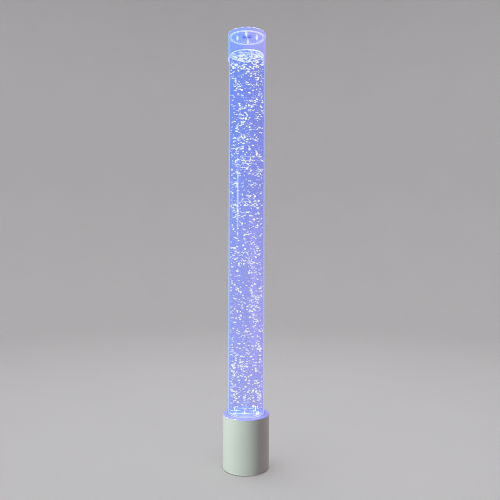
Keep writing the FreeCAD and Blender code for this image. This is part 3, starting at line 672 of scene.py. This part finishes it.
# %% Plastics and rubbers
moulded("cover_white", (0.72, 0.73, 0.72), 0.55)
moulded("foot_rubber", (0.05, 0.05, 0.055), 0.8, 500, 0.05)
moulded("cradle_plastic", (0.74, 0.74, 0.74), 0.5)
moulded("silicone", (0.78, 0.80, 0.84), 0.4, 300, 0.03)
moulded("pump_black", (0.03, 0.03, 0.035))
moulded("bobbin_white", (0.76, 0.73, 0.65), 0.4)
moulded("pump_rubber", (0.03, 0.03, 0.03), 0.8, 400, 0.05)
moulded("valve_plastic", (0.62, 0.72, 0.84), 0.25)
moulded("board_parts", (0.05, 0.05, 0.055), 0.4)
moulded("inlet_black", (0.025, 0.025, 0.03), 0.4)
moulded("button_grey", (0.60, 0.61, 0.61), 0.4)
moulded("lead_white", (0.74, 0.74, 0.72), 0.5)

# %% Metals and boards
brushed("screw_steel", (0.55, 0.55, 0.57), 0.35)
brushed("ballast_steel", (0.16, 0.17, 0.18), 0.55, (1, 12, 1))
brushed("lever_metal", (0.66, 0.67, 0.69), 0.32, (12, 1, 1))
brushed("bush_brass", (0.68, 0.50, 0.22))
brushed("pin_steel", (0.72, 0.73, 0.75), 0.2)
brushed("magnet_dark", (0.13, 0.13, 0.14), 0.35)
striped("core_steel", (0.32, 0.32, 0.34), (0.10, 0.10, 0.11), "Y", 90, 0.4)
striped("copper", (0.72, 0.30, 0.14), (0.22, 0.08, 0.04), "X", 150, 0.25)
printed_board("light_board_white", (0.80, 0.81, 0.81), (0.62, 0.63, 0.63))
printed_board("board_green", (0.02, 0.16, 0.07), (0.05, 0.28, 0.12))

# %% [markdown]
# The record names a material slot for each node of the frame. Every node gets the
# finish of its slot, also those that the drum hides.

# %% Dress the frame's nodes
for sub in frame["record"]["subparts"]:
    for slot in nodes[sub["node"]].material_slots:
        slot.material = finishes[sub["material_slot"]]

# %% [markdown]
# ## Building meshes
#
# Bubbles, rings and flecks are many small closed forms. Particles or instances could
# scatter them, but one mesh per group exports as it is and keeps the scene light.
# Every new piece rides on a body of the frame, so that it moves with it.

# %% Pieces
def polar(r, angle, z):
    """A point at a distance and a direction from the tube's axis."""
    return r * math.cos(angle), r * math.sin(angle), z


def smooth_object(name, points, faces, finish):
    """A mesh with one finish, shaded smooth."""
    mesh = bpy.data.meshes.new(name)
    mesh.from_pydata([tuple(p) for p in points], [], faces)
    mesh.materials.append(finish)
    mesh.polygons.foreach_set("use_smooth", [True] * len(mesh.polygons))
    mesh.update()
    shown = bpy.data.objects.new(name, mesh)
    bpy.context.scene.collection.objects.link(shown)
    print(f"{name}: {len(faces)} faces")
    return shown


def piece(name, points, faces, finish, body, slot):
    """A part of the lamp, which rides on a body. The slot that it is given is not used."""
    shown = smooth_object(name, points, faces, finishes[finish])
    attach(shown, body)


print("a point on the tube's wall:", polar(TUBE_R, 0.0, BASE_TOP))

# %% [markdown]
# A bubble starts as a ball: rings of points between two poles. A function then bends
# and places them. Each copy of the ball has points of its own and shares the pattern
# of faces, which only has to be shifted for each copy.

# %% The ball
BALL_TURNS = 10
BALL_RINGS = 6


def ball_points():
    points = [(0, 0, -1)]
    for ring in range(1, BALL_RINGS):
        tilt = math.pi * ring / BALL_RINGS
        for turn in range(BALL_TURNS):
            points.append(polar(math.sin(tilt), 2 * math.pi * turn / BALL_TURNS, -math.cos(tilt)))
    points.append((0, 0, 1))
    return np.array(points)


def ball_faces(last):
    """Two fans of triangles at the poles and rows of four-sided faces between them."""
    faces = []
    top_ring = 1 + (BALL_RINGS - 2) * BALL_TURNS
    for turn in range(BALL_TURNS):
        after = (turn + 1) % BALL_TURNS
        faces.append((0, 1 + after, 1 + turn))
        for ring in range(BALL_RINGS - 2):
            low = 1 + ring * BALL_TURNS
            high = low + BALL_TURNS
            faces.append((low + turn, low + after, high + after, high + turn))
        faces.append((top_ring + turn, top_ring + after, last))
    return faces


def gather(shapes, faces):
    """Many copies of one pattern of faces, each with points of its own."""
    all_faces = []
    for copy in range(len(shapes)):
        shift = copy * len(shapes[0])
        all_faces += [tuple(index + shift for index in face) for face in faces]
    return np.concatenate(shapes), all_faces


BALL_POINTS = ball_points()
BALL_FACES = ball_faces(len(BALL_POINTS) - 1)
print("a ball has", len(BALL_POINTS), "points and", len(BALL_FACES), "faces")

# %% [markdown]
# ## The bubbles' finish
#
# Light from below is thrown back by a bubble's underside, so that each one is painted
# to shine most on its lower half, with a small painted glint at its top. Its rim is
# painted dark, because light that meets it at a shallow angle goes elsewhere. Some
# shine less than others: each bubble is an island of the mesh, and an island has a
# random number of its own. Thousands of glowing faces would slow Blender's search for
# lights, so they are left out of that search.

# %% Bubble finish
BUBBLE_DARK = (0.07, 0.11, 0.38)
BUBBLE_FADED = (0.36, 0.46, 0.72)
BUBBLE_BRIGHT = (1.0, 0.98, 0.44)
BUBBLE_GLOW = 2.0


def lit_air():
    f = Finish("air_bubble")
    low = 1 - f.rise(f.axes()[2], WATER_FOOT, WATER_TOP)
    normal = f.node("TexCoord", output="Normal")
    upward = f.node("SeparateXYZ", {}, {0: normal}, "Z") - 0.8 * low
    # Painted light on the underside and a painted glint on top.
    under = 1 - f.rise(upward, -0.1, 0.5)
    glint = f.rise(upward, 0.75, 0.95)
    shine = f.node("Math", {"operation": "MAXIMUM"}, {0: under, 1: glint})
    fade = f.rise(f.node("NewGeometry", output="Random Per Island"), -0.20, 0.35)
    # A painted dark rim.
    dark_rim = f.rise(f.turned_away(), 0.60, 0.95)
    bright = f.mix(fade, BUBBLE_FADED, BUBBLE_BRIGHT)
    light = f.mix(shine * (1 - dark_rim), BUBBLE_DARK, bright)
    solid = (0.25 + 0.75 * shine) * (0.5 + 0.5 * fade)
    f.done(film(f, solid, f.scaled(light, 0.95 - 0.20 * low), BUBBLE_GLOW))


lit_air()
finishes["air_bubble"].cycles.emission_sampling = "NONE"

# %% [markdown]
# ## The bubbles' shape and places
#
# Air in water isn't round at this size. It flattens as it rises, wobbles and tilts.
# The bubbles rise in loose clumps, and round water works as a lens that spreads the
# swarm to the tube's sides, so more of them are drawn near the wall. Two regions are
# thinned: a quiet core at middle height and the water just over the floor. A seeded
# generator draws all of it, so that each run gives the same swarm.

# %% One bubble
def about_z(angle):
    return np.array(Matrix.Rotation(angle, 3, "Z"))


def bubble(centre, wide, tall, tilt, heading, sag):
    """A flattened ball, leaning towards a heading, whose underside is drawn in by sag."""
    points = BALL_POINTS * (wide, wide, tall)
    hollow = np.maximum(0, 1 - (points[:, 0] ** 2 + points[:, 1] ** 2) / wide ** 2)
    points[:, 2] += np.where(points[:, 2] < 0, sag * tall * hollow, 0)
    lean = np.array(Matrix.Rotation(tilt, 3, "Y"))
    return points @ lean.T @ about_z(heading).T + centre


sample = np.ptp(bubble((0, 0, 0), 3 * MM, 1.5 * MM, 0, 0, 0.4), axis=0) / MM
print(f"a bubble {sample[0]:.1f} mm wide is {sample[2]:.1f} mm high")

# %% Places for bubbles
SWARM_R = WATER_R - 1.8 * MM
SWARM_FOOT = FLOOR_TOP + 8 * MM
SWARM_TOP = WATER_TOP - 13 * MM
LARGEST_CLUMP = 5
CLUMP_SPREAD = (6 * MM, 6 * MM, 5 * MM)
CLUMP_ODDS = 0.3
QUIET_X = -8 * MM
QUIET_HALF_WIDTH = 12 * MM
QUIET_Z = 0.40, 0.66
QUIET_LOSS = 0.45
FOOT_LOSS = 0.20
chance = np.random.default_rng(27)


def near_foot(z):
    """1 at the tube's floor, falling to 0 a tube's diameter above it."""
    return max(0.0, 1 - (z - FLOOR_TOP) / (2 * TUBE_R))


def spots(count):
    """Places in the water: some in clumps, some alone, and fewer in the thinned regions."""
    found = []
    while len(found) < count:
        z = chance.uniform(SWARM_FOOT, SWARM_TOP)
        r = SWARM_R * math.sqrt(1 - chance.uniform() ** 2)
        centre = np.array(polar(r, chance.uniform(0, 2 * math.pi), z))
        clumped = chance.uniform() < CLUMP_ODDS * (1 - near_foot(z))
        members = chance.integers(2, LARGEST_CLUMP + 1) if clumped else 1
        quiet = abs(centre[0] - QUIET_X) < QUIET_HALF_WIDTH and QUIET_Z[0] < z < QUIET_Z[1]
        if chance.uniform() < max(QUIET_LOSS * quiet, FOOT_LOSS * near_foot(z)):
            continue
        for member in range(members):
            spot = centre + chance.normal(0, CLUMP_SPREAD) * (member > 0)
            if math.hypot(spot[0], spot[1]) < SWARM_R and SWARM_FOOT < spot[2] < SWARM_TOP:
                found.append(spot)
    return found[:count]


print(f"the swarm reaches from {SWARM_FOOT:.3f} to {SWARM_TOP:.3f} m")

# %% [markdown]
# Bubbles near the floor are a little larger and less flat, since the stream is fast
# there. None may leave the water, so that a wide one near the wall is made smaller.
# The sorted swarm is cut into four groups, from the bottom up.

# %% Bubbles
BUBBLES = 1720
GROUPS = 4
SMALL_BUBBLE = 1.6 * MM
LARGE_EXTRA = 2.3 * MM
LEAST_BUBBLE = 0.9 * MM
WALL_GAP = 0.2 * MM
FLATNESS = (0.38, 0.66)
TALL_BELOW = 0.35
TILT_SPREAD = math.radians(28)
MOST_SAG = 0.8
swarm = []
for spot in spots(BUBBLES):
    wide = SMALL_BUBBLE + LARGE_EXTRA * chance.uniform() ** 1.5
    wide = wide * (1 + 0.2 * near_foot(spot[2]))
    wide = max(LEAST_BUBBLE, min(wide, WATER_R - WALL_GAP - math.hypot(spot[0], spot[1])))
    tall = wide * chance.uniform(*FLATNESS) * (1 + 0.6 * max(0.0, 1 - spot[2] / TALL_BELOW))
    tilt = chance.normal(0, TILT_SPREAD)
    heading = chance.uniform(0, 2 * math.pi)
    swarm.append(bubble(spot, wide, tall, tilt, heading, chance.uniform(0, MOST_SAG)))
swarm.sort(key=lambda shape: shape[:, 2].mean())
for group in range(GROUPS):
    members = swarm[group * BUBBLES // GROUPS:(group + 1) * BUBBLES // GROUPS]
    piece(f"bubbles_{group + 1}", *gather(members, BALL_FACES), "air_bubble", "base", "water")

# %% [markdown]
# At a few heights the round wall draws bubbles out into thin level lines of light.
# Such a line is the same ball, pulled long and laid along the wall.

# %% Bubbles drawn out into lines
LINE_HEIGHTS = (0.740, 0.820, 0.836, 0.848, 0.857)
LINES_AT_EACH = 7
LINE_HALF_LENGTHS = (9 * MM, 17 * MM)
LINE_HALF_WIDTH = 0.5 * MM
LINE_HALF_HEIGHT = 0.45 * MM
LYING_BALL = BALL_POINTS[:, [2, 0, 1]]
lines = []
for height in LINE_HEIGHTS:
    for _ in range(LINES_AT_EACH):
        angle = chance.uniform(0, 2 * math.pi)
        r = SWARM_R * chance.uniform(0.7, 0.96)
        half_chord = math.sqrt(WATER_R ** 2 - r ** 2)
        half_length = min(chance.uniform(*LINE_HALF_LENGTHS), 0.9 * half_chord)
        line = LYING_BALL * (half_length, LINE_HALF_WIDTH, LINE_HALF_HEIGHT)
        centre = polar(r, angle, height + chance.normal(0, 0.5) * MM)
        lines.append(line @ about_z(angle + math.pi / 2).T + centre)
piece("drawn_bubbles", *gather(lines, BALL_FACES), "air_bubble", "base", "water")

# %% [markdown]
# ## The surface under the cap
#
# Where the bubbles break, the water heaves and carries patches of froth. A wavy
# sheet lies just under the water's flat top. It is built as rings of points about
# the axis, with a height for each point, because that follows the tube's round wall
# where a square grid would have to be cut. Two ripples that cross make the waves,
# and the sheet climbs a little at the wall.

# %% Froth finish
FROTH_DARK_BRIGHT = (0.14, 0.26, 0.90), (0.86, 0.94, 1.05)
FROTH_GLOW = 1.7


def bright_foam():
    f = Finish("foam")
    # The froth and the water between it glow: their brightness is painted light.
    froth = f.rise(f.clouds(95, 3), 0.42, 0.52)
    f.done(film(f, 0.45 + 0.5 * froth, f.mix(froth, *FROTH_DARK_BRIGHT), FROTH_GLOW))


bright_foam()


# %% Water surface
def round_sheet(rings, turns, lift):
    """A sheet of rings, each a radius and a height, with a lift at each point."""
    points = [(0, 0, rings[0][1])]
    faces = []
    for index, (r, z) in enumerate(rings[1:]):
        here = 1 + index * turns
        for turn in range(turns):
            angle = 2 * math.pi * turn / turns
            after = (turn + 1) % turns
            points.append(polar(r, angle, z + lift(r, angle)))
            if index == 0:
                faces.append((0, here + turn, here + after))
            else:
                faces.append((here - turns + turn, here + turn, here + after, here - turns + after))
    return points, faces


SURFACE_RINGS = 14
SURFACE_TURNS = 64
SURFACE_R = WATER_R - 0.1 * MM
SURFACE_Z = WATER_TOP - 2.4 * MM
WAVE_HEIGHT = 1.1 * MM
CALM_R = 0.03
CLIMB = 1.6 * MM
CLIMB_FROM = 0.9


def heave(r, angle):
    crossing = math.sin(5 * angle + 90 * r) * math.sin(3 * angle - 140 * r)
    calm = math.sin(math.pi * min(1, r / CALM_R))
    climb = CLIMB * max(0, r / WATER_R - CLIMB_FROM) / (1 - CLIMB_FROM)
    return WAVE_HEIGHT * crossing * calm + climb


surface_rings = [(SURFACE_R * ring / SURFACE_RINGS, SURFACE_Z) for ring in range(SURFACE_RINGS + 1)]
piece("water_surface", *round_sheet(surface_rings, SURFACE_TURNS, heave), "foam", "base", "water")

# %% [markdown]
# ## Rings and arcs
#
# The bright lines of the lamp are all rods bent round the axis: the meniscus, where
# the water climbs the wall, the ripples of light near the surface, and the cut edges
# of the acrylic. A curve with a bevel would draw them too. As meshes, a ring can
# swell at one side and an arc can thin out at its ends.

# %% Bent rods
def rod_faces(steps, section, closed):
    """Four-sided faces between neighbouring sections of a rod."""
    faces = []
    for step in range(steps if closed else steps - 1):
        here = step * section
        ahead = (step + 1) % steps * section
        for corner in range(section):
            after = (corner + 1) % section
            faces.append((here + corner, ahead + corner, ahead + after, here + after))
    return faces


def oval(ring_r, angle, z, thick_r, thick_z, section):
    """The points of a rod's section."""
    points = []
    for corner in range(section):
        tilt = 2 * math.pi * corner / section
        points.append(polar(ring_r + thick_r * math.cos(tilt), angle, z + thick_z * math.sin(tilt)))
    return points


HOOP_TURNS = 96
HOOP_SECTION = 8


def hoop(ring_r, z, thick_r, thick_z, swell=0.0, swell_at=0.0):
    """A closed ring, which may swell at one side."""
    points = []
    for turn in range(HOOP_TURNS):
        angle = 2 * math.pi * turn / HOOP_TURNS
        more = 1 + swell * max(0.0, math.cos(angle - swell_at)) ** 2
        points += oval(ring_r, angle, z, thick_r, thick_z * more, HOOP_SECTION)
    return points, rod_faces(HOOP_TURNS, HOOP_SECTION, True)


ARC_STEPS = 24
ARC_SECTION = 6
ARC_END = 0.02


def arc(ring_r, z, thick, start, end):
    """The points of a part of a ring, in degrees, thin at its ends."""
    angles = np.radians(np.linspace(start, end, ARC_STEPS))
    shares = np.sin(np.linspace(ARC_END, math.pi - ARC_END, ARC_STEPS)) ** 0.5
    points = []
    for angle, share in zip(angles, shares):
        points += oval(ring_r, angle, z, thick * share, thick * share, ARC_SECTION)
    return np.array(points)


ARC_FACES = rod_faces(ARC_STEPS, ARC_SECTION, False)
print("a hoop has", HOOP_TURNS * HOOP_SECTION, "points, an arc", ARC_STEPS * ARC_SECTION)

# %% [markdown]
# The meniscus is painted as nearly white light and swells at the front right, where
# most of the light is thrown. Below it, thin ripples of painted light lie on the wall,
# mostly at the right. Each is written as its depth under the surface and its
# thickness in millimetres, and the two directions, in degrees, between which it runs.

# %% Meniscus and ripples
MENISCUS_LIGHTS = (0.80, 0.90, 1.0), (1.0, 1.0, 1.0)
MENISCUS_GLOW = 2.2
RIPPLES = (
    (6, 1.0, -64, 2), (12, 0.9, -50, 6), (19, 0.7, -36, 8), (26, 0.5, -30, 6),
    (15, 0.5, 105, 172), (20, 0.3, 188, 236), (7, 0.4, 184, 222),
)


def bright_meniscus():
    f = Finish("meniscus")
    patch = f.clouds(90, 2)
    f.done(film(f, 0.75 + 0.2 * patch, f.mix(patch, *MENISCUS_LIGHTS), MENISCUS_GLOW))


bright_meniscus()
# The meniscus glows with painted light, thicker at the front right.
swollen = hoop(WATER_R - 1.1 * MM, WATER_TOP - 0.8 * MM, 1.0 * MM, 0.7 * MM, 1.3, math.radians(-55))
piece("meniscus", *swollen, "meniscus", "base", "water")
ripples = [
    arc(WATER_R - 1.4 * MM, WATER_TOP - depth * MM, thick * MM, start, end)
    for depth, thick, start, end in RIPPLES
]
piece("surface_ripples", *gather(ripples, ARC_FACES), "meniscus", "base", "water")

# %% [markdown]
# A few larger bubbles hang just under the froth, where they wait to break. They are
# made as the swarm's are.

# %% Bubbles in the froth
FOAM_BUBBLES = 14
FOAM_DEPTH = 12 * MM
foam = []
for _ in range(FOAM_BUBBLES):
    r = (WATER_R - 4 * MM) * chance.uniform() ** 0.5
    angle = chance.uniform(0, 2 * math.pi)
    centre = polar(r, angle, SURFACE_Z - FOAM_DEPTH * chance.uniform())
    wide = chance.uniform(1.5, 3.4) * MM
    tall = wide * chance.uniform(0.4, 0.7)
    foam.append(bubble(centre, wide, tall, chance.normal(0, 0.3), angle, 0.4))
piece("foam_bubbles", *gather(foam, BALL_FACES), "air_bubble", "base", "water")

# %% [markdown]
# ## Light caught in the acrylic
#
# Light that runs up the tube's wall leaves it at the cut end, as two bright lines,
# and at the cap's rim, where the line is broken, because the polish of a cut edge
# is uneven. Traced light would need a very long render to find these. A thin glowing
# form in the right place costs nothing, and its clouds keep it from looking drawn.

# %% Caught light
CUT_EDGE_LIGHT = (0.96, 0.96, 1.0)
CUT_EDGE_GLOW = 1.5


def caught_light(name, colour, strength):
    f = Finish(name)
    flicker = f.clouds(110, 2)
    solid = 0.45 + 0.6 * f.rise(flicker, 0.38, 0.60)
    f.done(film(f, solid, f.mix(flicker, shade(colour, 0.9), colour), strength))


def broken_line():
    f = Finish("broken_line")
    middle = 1 - f.rise(abs(f.axes()[0]), 16 * MM, 40 * MM)
    polished = f.rise(f.clouds(60, 1), 0.52, 0.60)
    solid = 0.03 + polished * (0.25 + 0.65 * middle)
    f.done(film(f, solid, CUT_EDGE_LIGHT, CUT_EDGE_GLOW))


caught_light("edge_light", (0.86, 0.92, 1.0), 1.5)
caught_light("glint", (0.92, 0.95, 1.0), 1.45)
caught_light("spark", (0.92, 0.97, 1.0), 2.4)
caught_light("foot_light", (0.76, 0.70, 1.0), 1.0)
caught_light("blue_streak", (0.55, 0.82, 1.0), 2.0)
broken_line()

# %% Lines on cut edges
outer_end = hoop(TUBE_R - 0.6 * MM, TUBE_TOP - 0.4 * MM, 0.55 * MM, 0.6 * MM)
inner_end = hoop(TUBE_R - 6.0 * MM, CAP_UNDER - 0.7 * MM, 0.5 * MM, 0.6 * MM)
cap_rim = hoop(CAP_R - 0.75 * MM, CAP_TOP - 0.8 * MM, 0.6 * MM, 0.7 * MM)
piece("tube_end_outer_line", *outer_end, "edge_light", "base", "tube_clear")
piece("tube_end_inner_line", *inner_end, "edge_light", "cap", "cap_clear")
piece("cap_rim_line", *cap_rim, "broken_line", "cap", "cap_clear")

# %% [markdown]
# The four chips show again as four upright glints in the cap's disc. They are images
# of the chips, so they stand on a circle as the chips do, turned by the same few
# degrees. Each is a ball pulled tall, with its ends drawn in.

# %% Glints in the cap
LIGHTS_TURN = math.radians(-4.5)
GLINT_R = 27 * MM
GLINT_SHIFT = -3 * MM
GLINT_HALF_HEIGHT = 9.0 * MM
GLINT_HALF_WIDTH = 3.5 * MM
GLINT_Z = CAP_TOP - GLINT_HALF_HEIGHT - 0.3 * MM
taper = 1 - 0.25 * np.abs(BALL_POINTS[:, 2])
spindle = BALL_POINTS * (GLINT_HALF_WIDTH, GLINT_HALF_WIDTH, GLINT_HALF_HEIGHT)
spindle[:, :2] *= taper[:, None]
glints = []
for turn in range(4):
    centre = polar(GLINT_R, math.pi / 2 * turn + LIGHTS_TURN, GLINT_Z)
    glints.append(spindle + centre + (0, GLINT_SHIFT, 0))
piece("cap_glints", *gather(glints, BALL_FACES), "glint", "cap", "cap_clear")

# %% [markdown]
# ## Light on the clear floor
#
# The clear floor lies over the ring of lights, and its pattern is a square of thin
# bright streaks with a cross in it, low against the floor. Each side of the square
# has a knot of light in its middle and a short beam over a chip. One quarter of the
# pattern is drawn, and turned four times.

# %% Streaks on the floor
LENS_TOP_R = 8 * MM
LIGHT_CIRCLE_R = reach("led_lenses") - LENS_TOP_R
PATTERN_HALF = 24 * MM
PATTERN_SHIFT = -2.5 * MM
STREAK_R = 1.1 * MM
STREAK_Z = FLOOR_TOP + STREAK_R
SPOKE_START = -9 * MM
SPOKE_END = 5 * MM - WATER_R
KNOT_HALF = (7 * MM, 1.5 * MM, 1.3 * MM)
BEAM_HALF = (0.9 * MM, 0.9 * MM, 5 * MM)


def streak(start, end, thick):
    """A spindle between two points of the floor."""
    start, end = np.array((*start, STREAK_Z)), np.array((*end, STREAK_Z))
    along = end - start
    points = LYING_BALL * (np.linalg.norm(along) / 2, thick, thick)
    return points @ about_z(math.atan2(along[1], along[0])).T + (start + end) / 2


side = streak((-PATTERN_HALF, -PATTERN_HALF), (PATTERN_HALF, -PATTERN_HALF), STREAK_R)
spoke = streak((0, SPOKE_START), (0, SPOKE_END), STREAK_R * 0.8)
knot = BALL_POINTS * KNOT_HALF + (0, -PATTERN_HALF, STREAK_Z + 0.6 * MM)
beam = BALL_POINTS * BEAM_HALF + (0, -LIGHT_CIRCLE_R, FLOOR_TOP + 6 * MM)
streaks = []
knots = []
for turn in range(4):
    quarter = about_z(math.pi / 2 * turn + LIGHTS_TURN).T
    streaks += [shape @ quarter + (PATTERN_SHIFT, 0, 0) for shape in (side, spoke)]
    knots += [shape @ quarter + (PATTERN_SHIFT, 0, 0) for shape in (knot, beam)]
piece("floor_streaks", *gather(streaks, BALL_FACES), "blue_streak", "base", "water")
piece("floor_knots", *gather(knots, BALL_FACES), "spark", "base", "water")

# %% [markdown]
# Where the streaks meet the tube's wall, small sparks gather in four corners, most
# of them at the front right. Two arcs of light follow the inner foot of the tube
# between them, and a thin line of light runs round its outer foot.

# %% Sparks and arcs
CORNER_SPARKS = (10, 7, 8, 22)
CORNER_SPREAD = 0.13
SPARK_RADII = (0.7 * MM, 1.6 * MM)
SPARK_HEIGHTS = (0.5 * MM, 6 * MM)
FROM_WALL = (2 * MM, 7 * MM)
FLOOR_ARCS = ((192, 240), (298, 338))
sparks = []
for turn, count in enumerate(CORNER_SPARKS):
    for _ in range(count):
        angle = math.pi / 4 + math.pi / 2 * turn + chance.normal(0, CORNER_SPREAD)
        r = WATER_R - chance.uniform(*FROM_WALL)
        size = chance.uniform(*SPARK_RADII)
        centre = polar(r, angle, FLOOR_TOP + chance.uniform(*SPARK_HEIGHTS))
        sparks.append(bubble(centre, size, size * 0.8, 0, 0, 0))
piece("corner_sparks", *gather(sparks, BALL_FACES), "spark", "base", "water")
arcs = [arc(WATER_R - 1.1 * MM, FLOOR_TOP + 1.0 * MM, 0.9 * MM, *span) for span in FLOOR_ARCS]
piece("floor_arcs", *gather(arcs, ARC_FACES), "edge_light", "base", "water")
outer_foot = hoop(TUBE_R - 0.6 * MM, BASE_TOP + 1.3 * MM, 0.5 * MM, 1.0 * MM)
piece("tube_foot_line", *outer_foot, "foot_light", "base", "tube_clear")

# %% [markdown]
# ## The studio's floor
#
# The lamp stands on a pale sweep: a floor that curves up into a round wall, so that
# no edge shows behind the tube from any side. A profile of radii and heights is
# turned about the axis by the same helper as the water's surface. The sweep isn't
# part of the object.

# %% Floor
SWEEP_FLAT_R = 2.6
SWEEP_BEND_R = 1.4
SWEEP_BEND_STEPS = 12
SWEEP_WALL = 3.0
SWEEP_TURNS = 96
SWEEP_TONES = (0.74, 0.735, 0.74), (0.77, 0.765, 0.77)


def sweep_paint():
    f = Finish("sweep")
    f.done(f.skin(Base_Color=f.mix(f.clouds(3, 2), *SWEEP_TONES), Roughness=0.8))


sweep_paint()
profile = [(0.0, 0.0), (SWEEP_FLAT_R, 0.0)]
for step in range(1, SWEEP_BEND_STEPS + 1):
    bend = math.pi / 2 * step / SWEEP_BEND_STEPS
    rise = SWEEP_BEND_R * (1 - math.cos(bend))
    profile.append((SWEEP_FLAT_R + SWEEP_BEND_R * math.sin(bend), rise))
profile.append((SWEEP_FLAT_R + SWEEP_BEND_R, SWEEP_BEND_R + SWEEP_WALL))
sweep_form = round_sheet(profile, SWEEP_TURNS, lambda r, angle: 0.0)
sweep = smooth_object("sweep", *sweep_form, finishes["sweep"])

# %% [markdown]
# ## The studio's lamps
#
# A large lamp overhead and the room's own light fill the sweep evenly. The others
# light only the object, as lamps with flags do in a studio, and Blender's light
# linking is the flag: a broad cool one at the front left that models the drum, a
# warm one behind on the right and one at the back. Two narrow strips at the left
# stand out of the picture to show in the tube: the stronger as the upright
# reflection left of the middle, the weaker as a trace of one nearer the edge.

# %% Lamp maker
flags = bpy.data.collections.new("flags")
flags.objects.link(sweep)
flags.collection_objects[0].light_linking.link_state = "EXCLUDE"


def lamp(name, azimuth, distance, height, size, watts,
         colour=(1, 1, 1), aim_z=0.5, glossy=False, flagged=True):
    """A soft rectangular lamp. Azimuth 0 is the camera's side, and it grows to the right."""
    data = bpy.data.lights.new(name, "AREA")
    data.shape = "RECTANGLE"
    data.size, data.size_y = size
    data.energy = watts
    data.color = colour
    shown = bpy.data.objects.new(name, data)
    bpy.context.scene.collection.objects.link(shown)
    spot = Vector(polar(distance, math.radians(azimuth - 90), height))
    aim = Vector((0, 0, aim_z)) - spot
    turn = aim.to_track_quat("-Z", "Y").to_matrix().to_4x4()
    shown.matrix_world = Matrix.Translation(spot) @ turn
    shown.visible_camera = False
    shown.visible_glossy = glossy
    if flagged:
        shown.light_linking.receiver_collection = flags
    print(f"{name}: {watts} W at {azimuth} degrees")


# %% Lamps
STRIP_Z = 0.881
SIDE_STRIP_Z = 0.87
lamp("key", azimuth=-51, distance=2.2, height=0.9, size=(0.5, 1.8), watts=44.5,
     colour=(0.66, 0.99, 1.0))
lamp("strip", azimuth=-57, distance=1.5, height=STRIP_Z, size=(0.09, 0.25), watts=31,
     colour=(0.86, 1.0, 0.82), aim_z=STRIP_Z, glossy=True)
lamp("warm_fill", azimuth=128, distance=2.4, height=0.9, size=(1.0, 1.6), watts=19,
     colour=(1.0, 0.78, 0.68))
lamp("back_light", azimuth=190, distance=2.4, height=1.2, size=(1.0, 1.8), watts=58)
lamp("overhead", azimuth=0, distance=0.01, height=3.6, size=(3.0, 3.0), watts=46,
     aim_z=0.0, glossy=True, flagged=False)
lamp("side_strip", azimuth=-104, distance=1.5, height=SIDE_STRIP_Z, size=(0.05, 0.24), watts=6,
     colour=(0.85, 1.0, 0.85), aim_z=SIDE_STRIP_Z, glossy=True)

# %% [markdown]
# The room's own light is a plain grey world. The plain view transform keeps colours
# as they are mixed. A line of sight crosses the walls, the water and many bubbles,
# so that far more transparent faces are allowed than Blender's usual eight. A
# narrow pixel filter keeps the bubbles crisp.

# %% Room light and view
ROOM_TONE = (0.85, 0.83, 0.84, 1)
ROOM_STRENGTH = 0.55
CLEAR_FACES = 48
PIXEL_FILTER = 1.0
world = bpy.data.worlds.new("room")
bpy.context.scene.world = world
world.use_nodes = True
background = world.node_tree.nodes["Background"]
background.inputs["Color"].default_value = ROOM_TONE
background.inputs["Strength"].default_value = ROOM_STRENGTH
bpy.context.scene.view_settings.view_transform = "Standard"
bpy.context.scene.cycles.transparent_max_bounces = CLEAR_FACES
bpy.context.scene.cycles.filter_width = PIXEL_FILTER
print("room light", ROOM_STRENGTH, "clear faces", CLEAR_FACES)
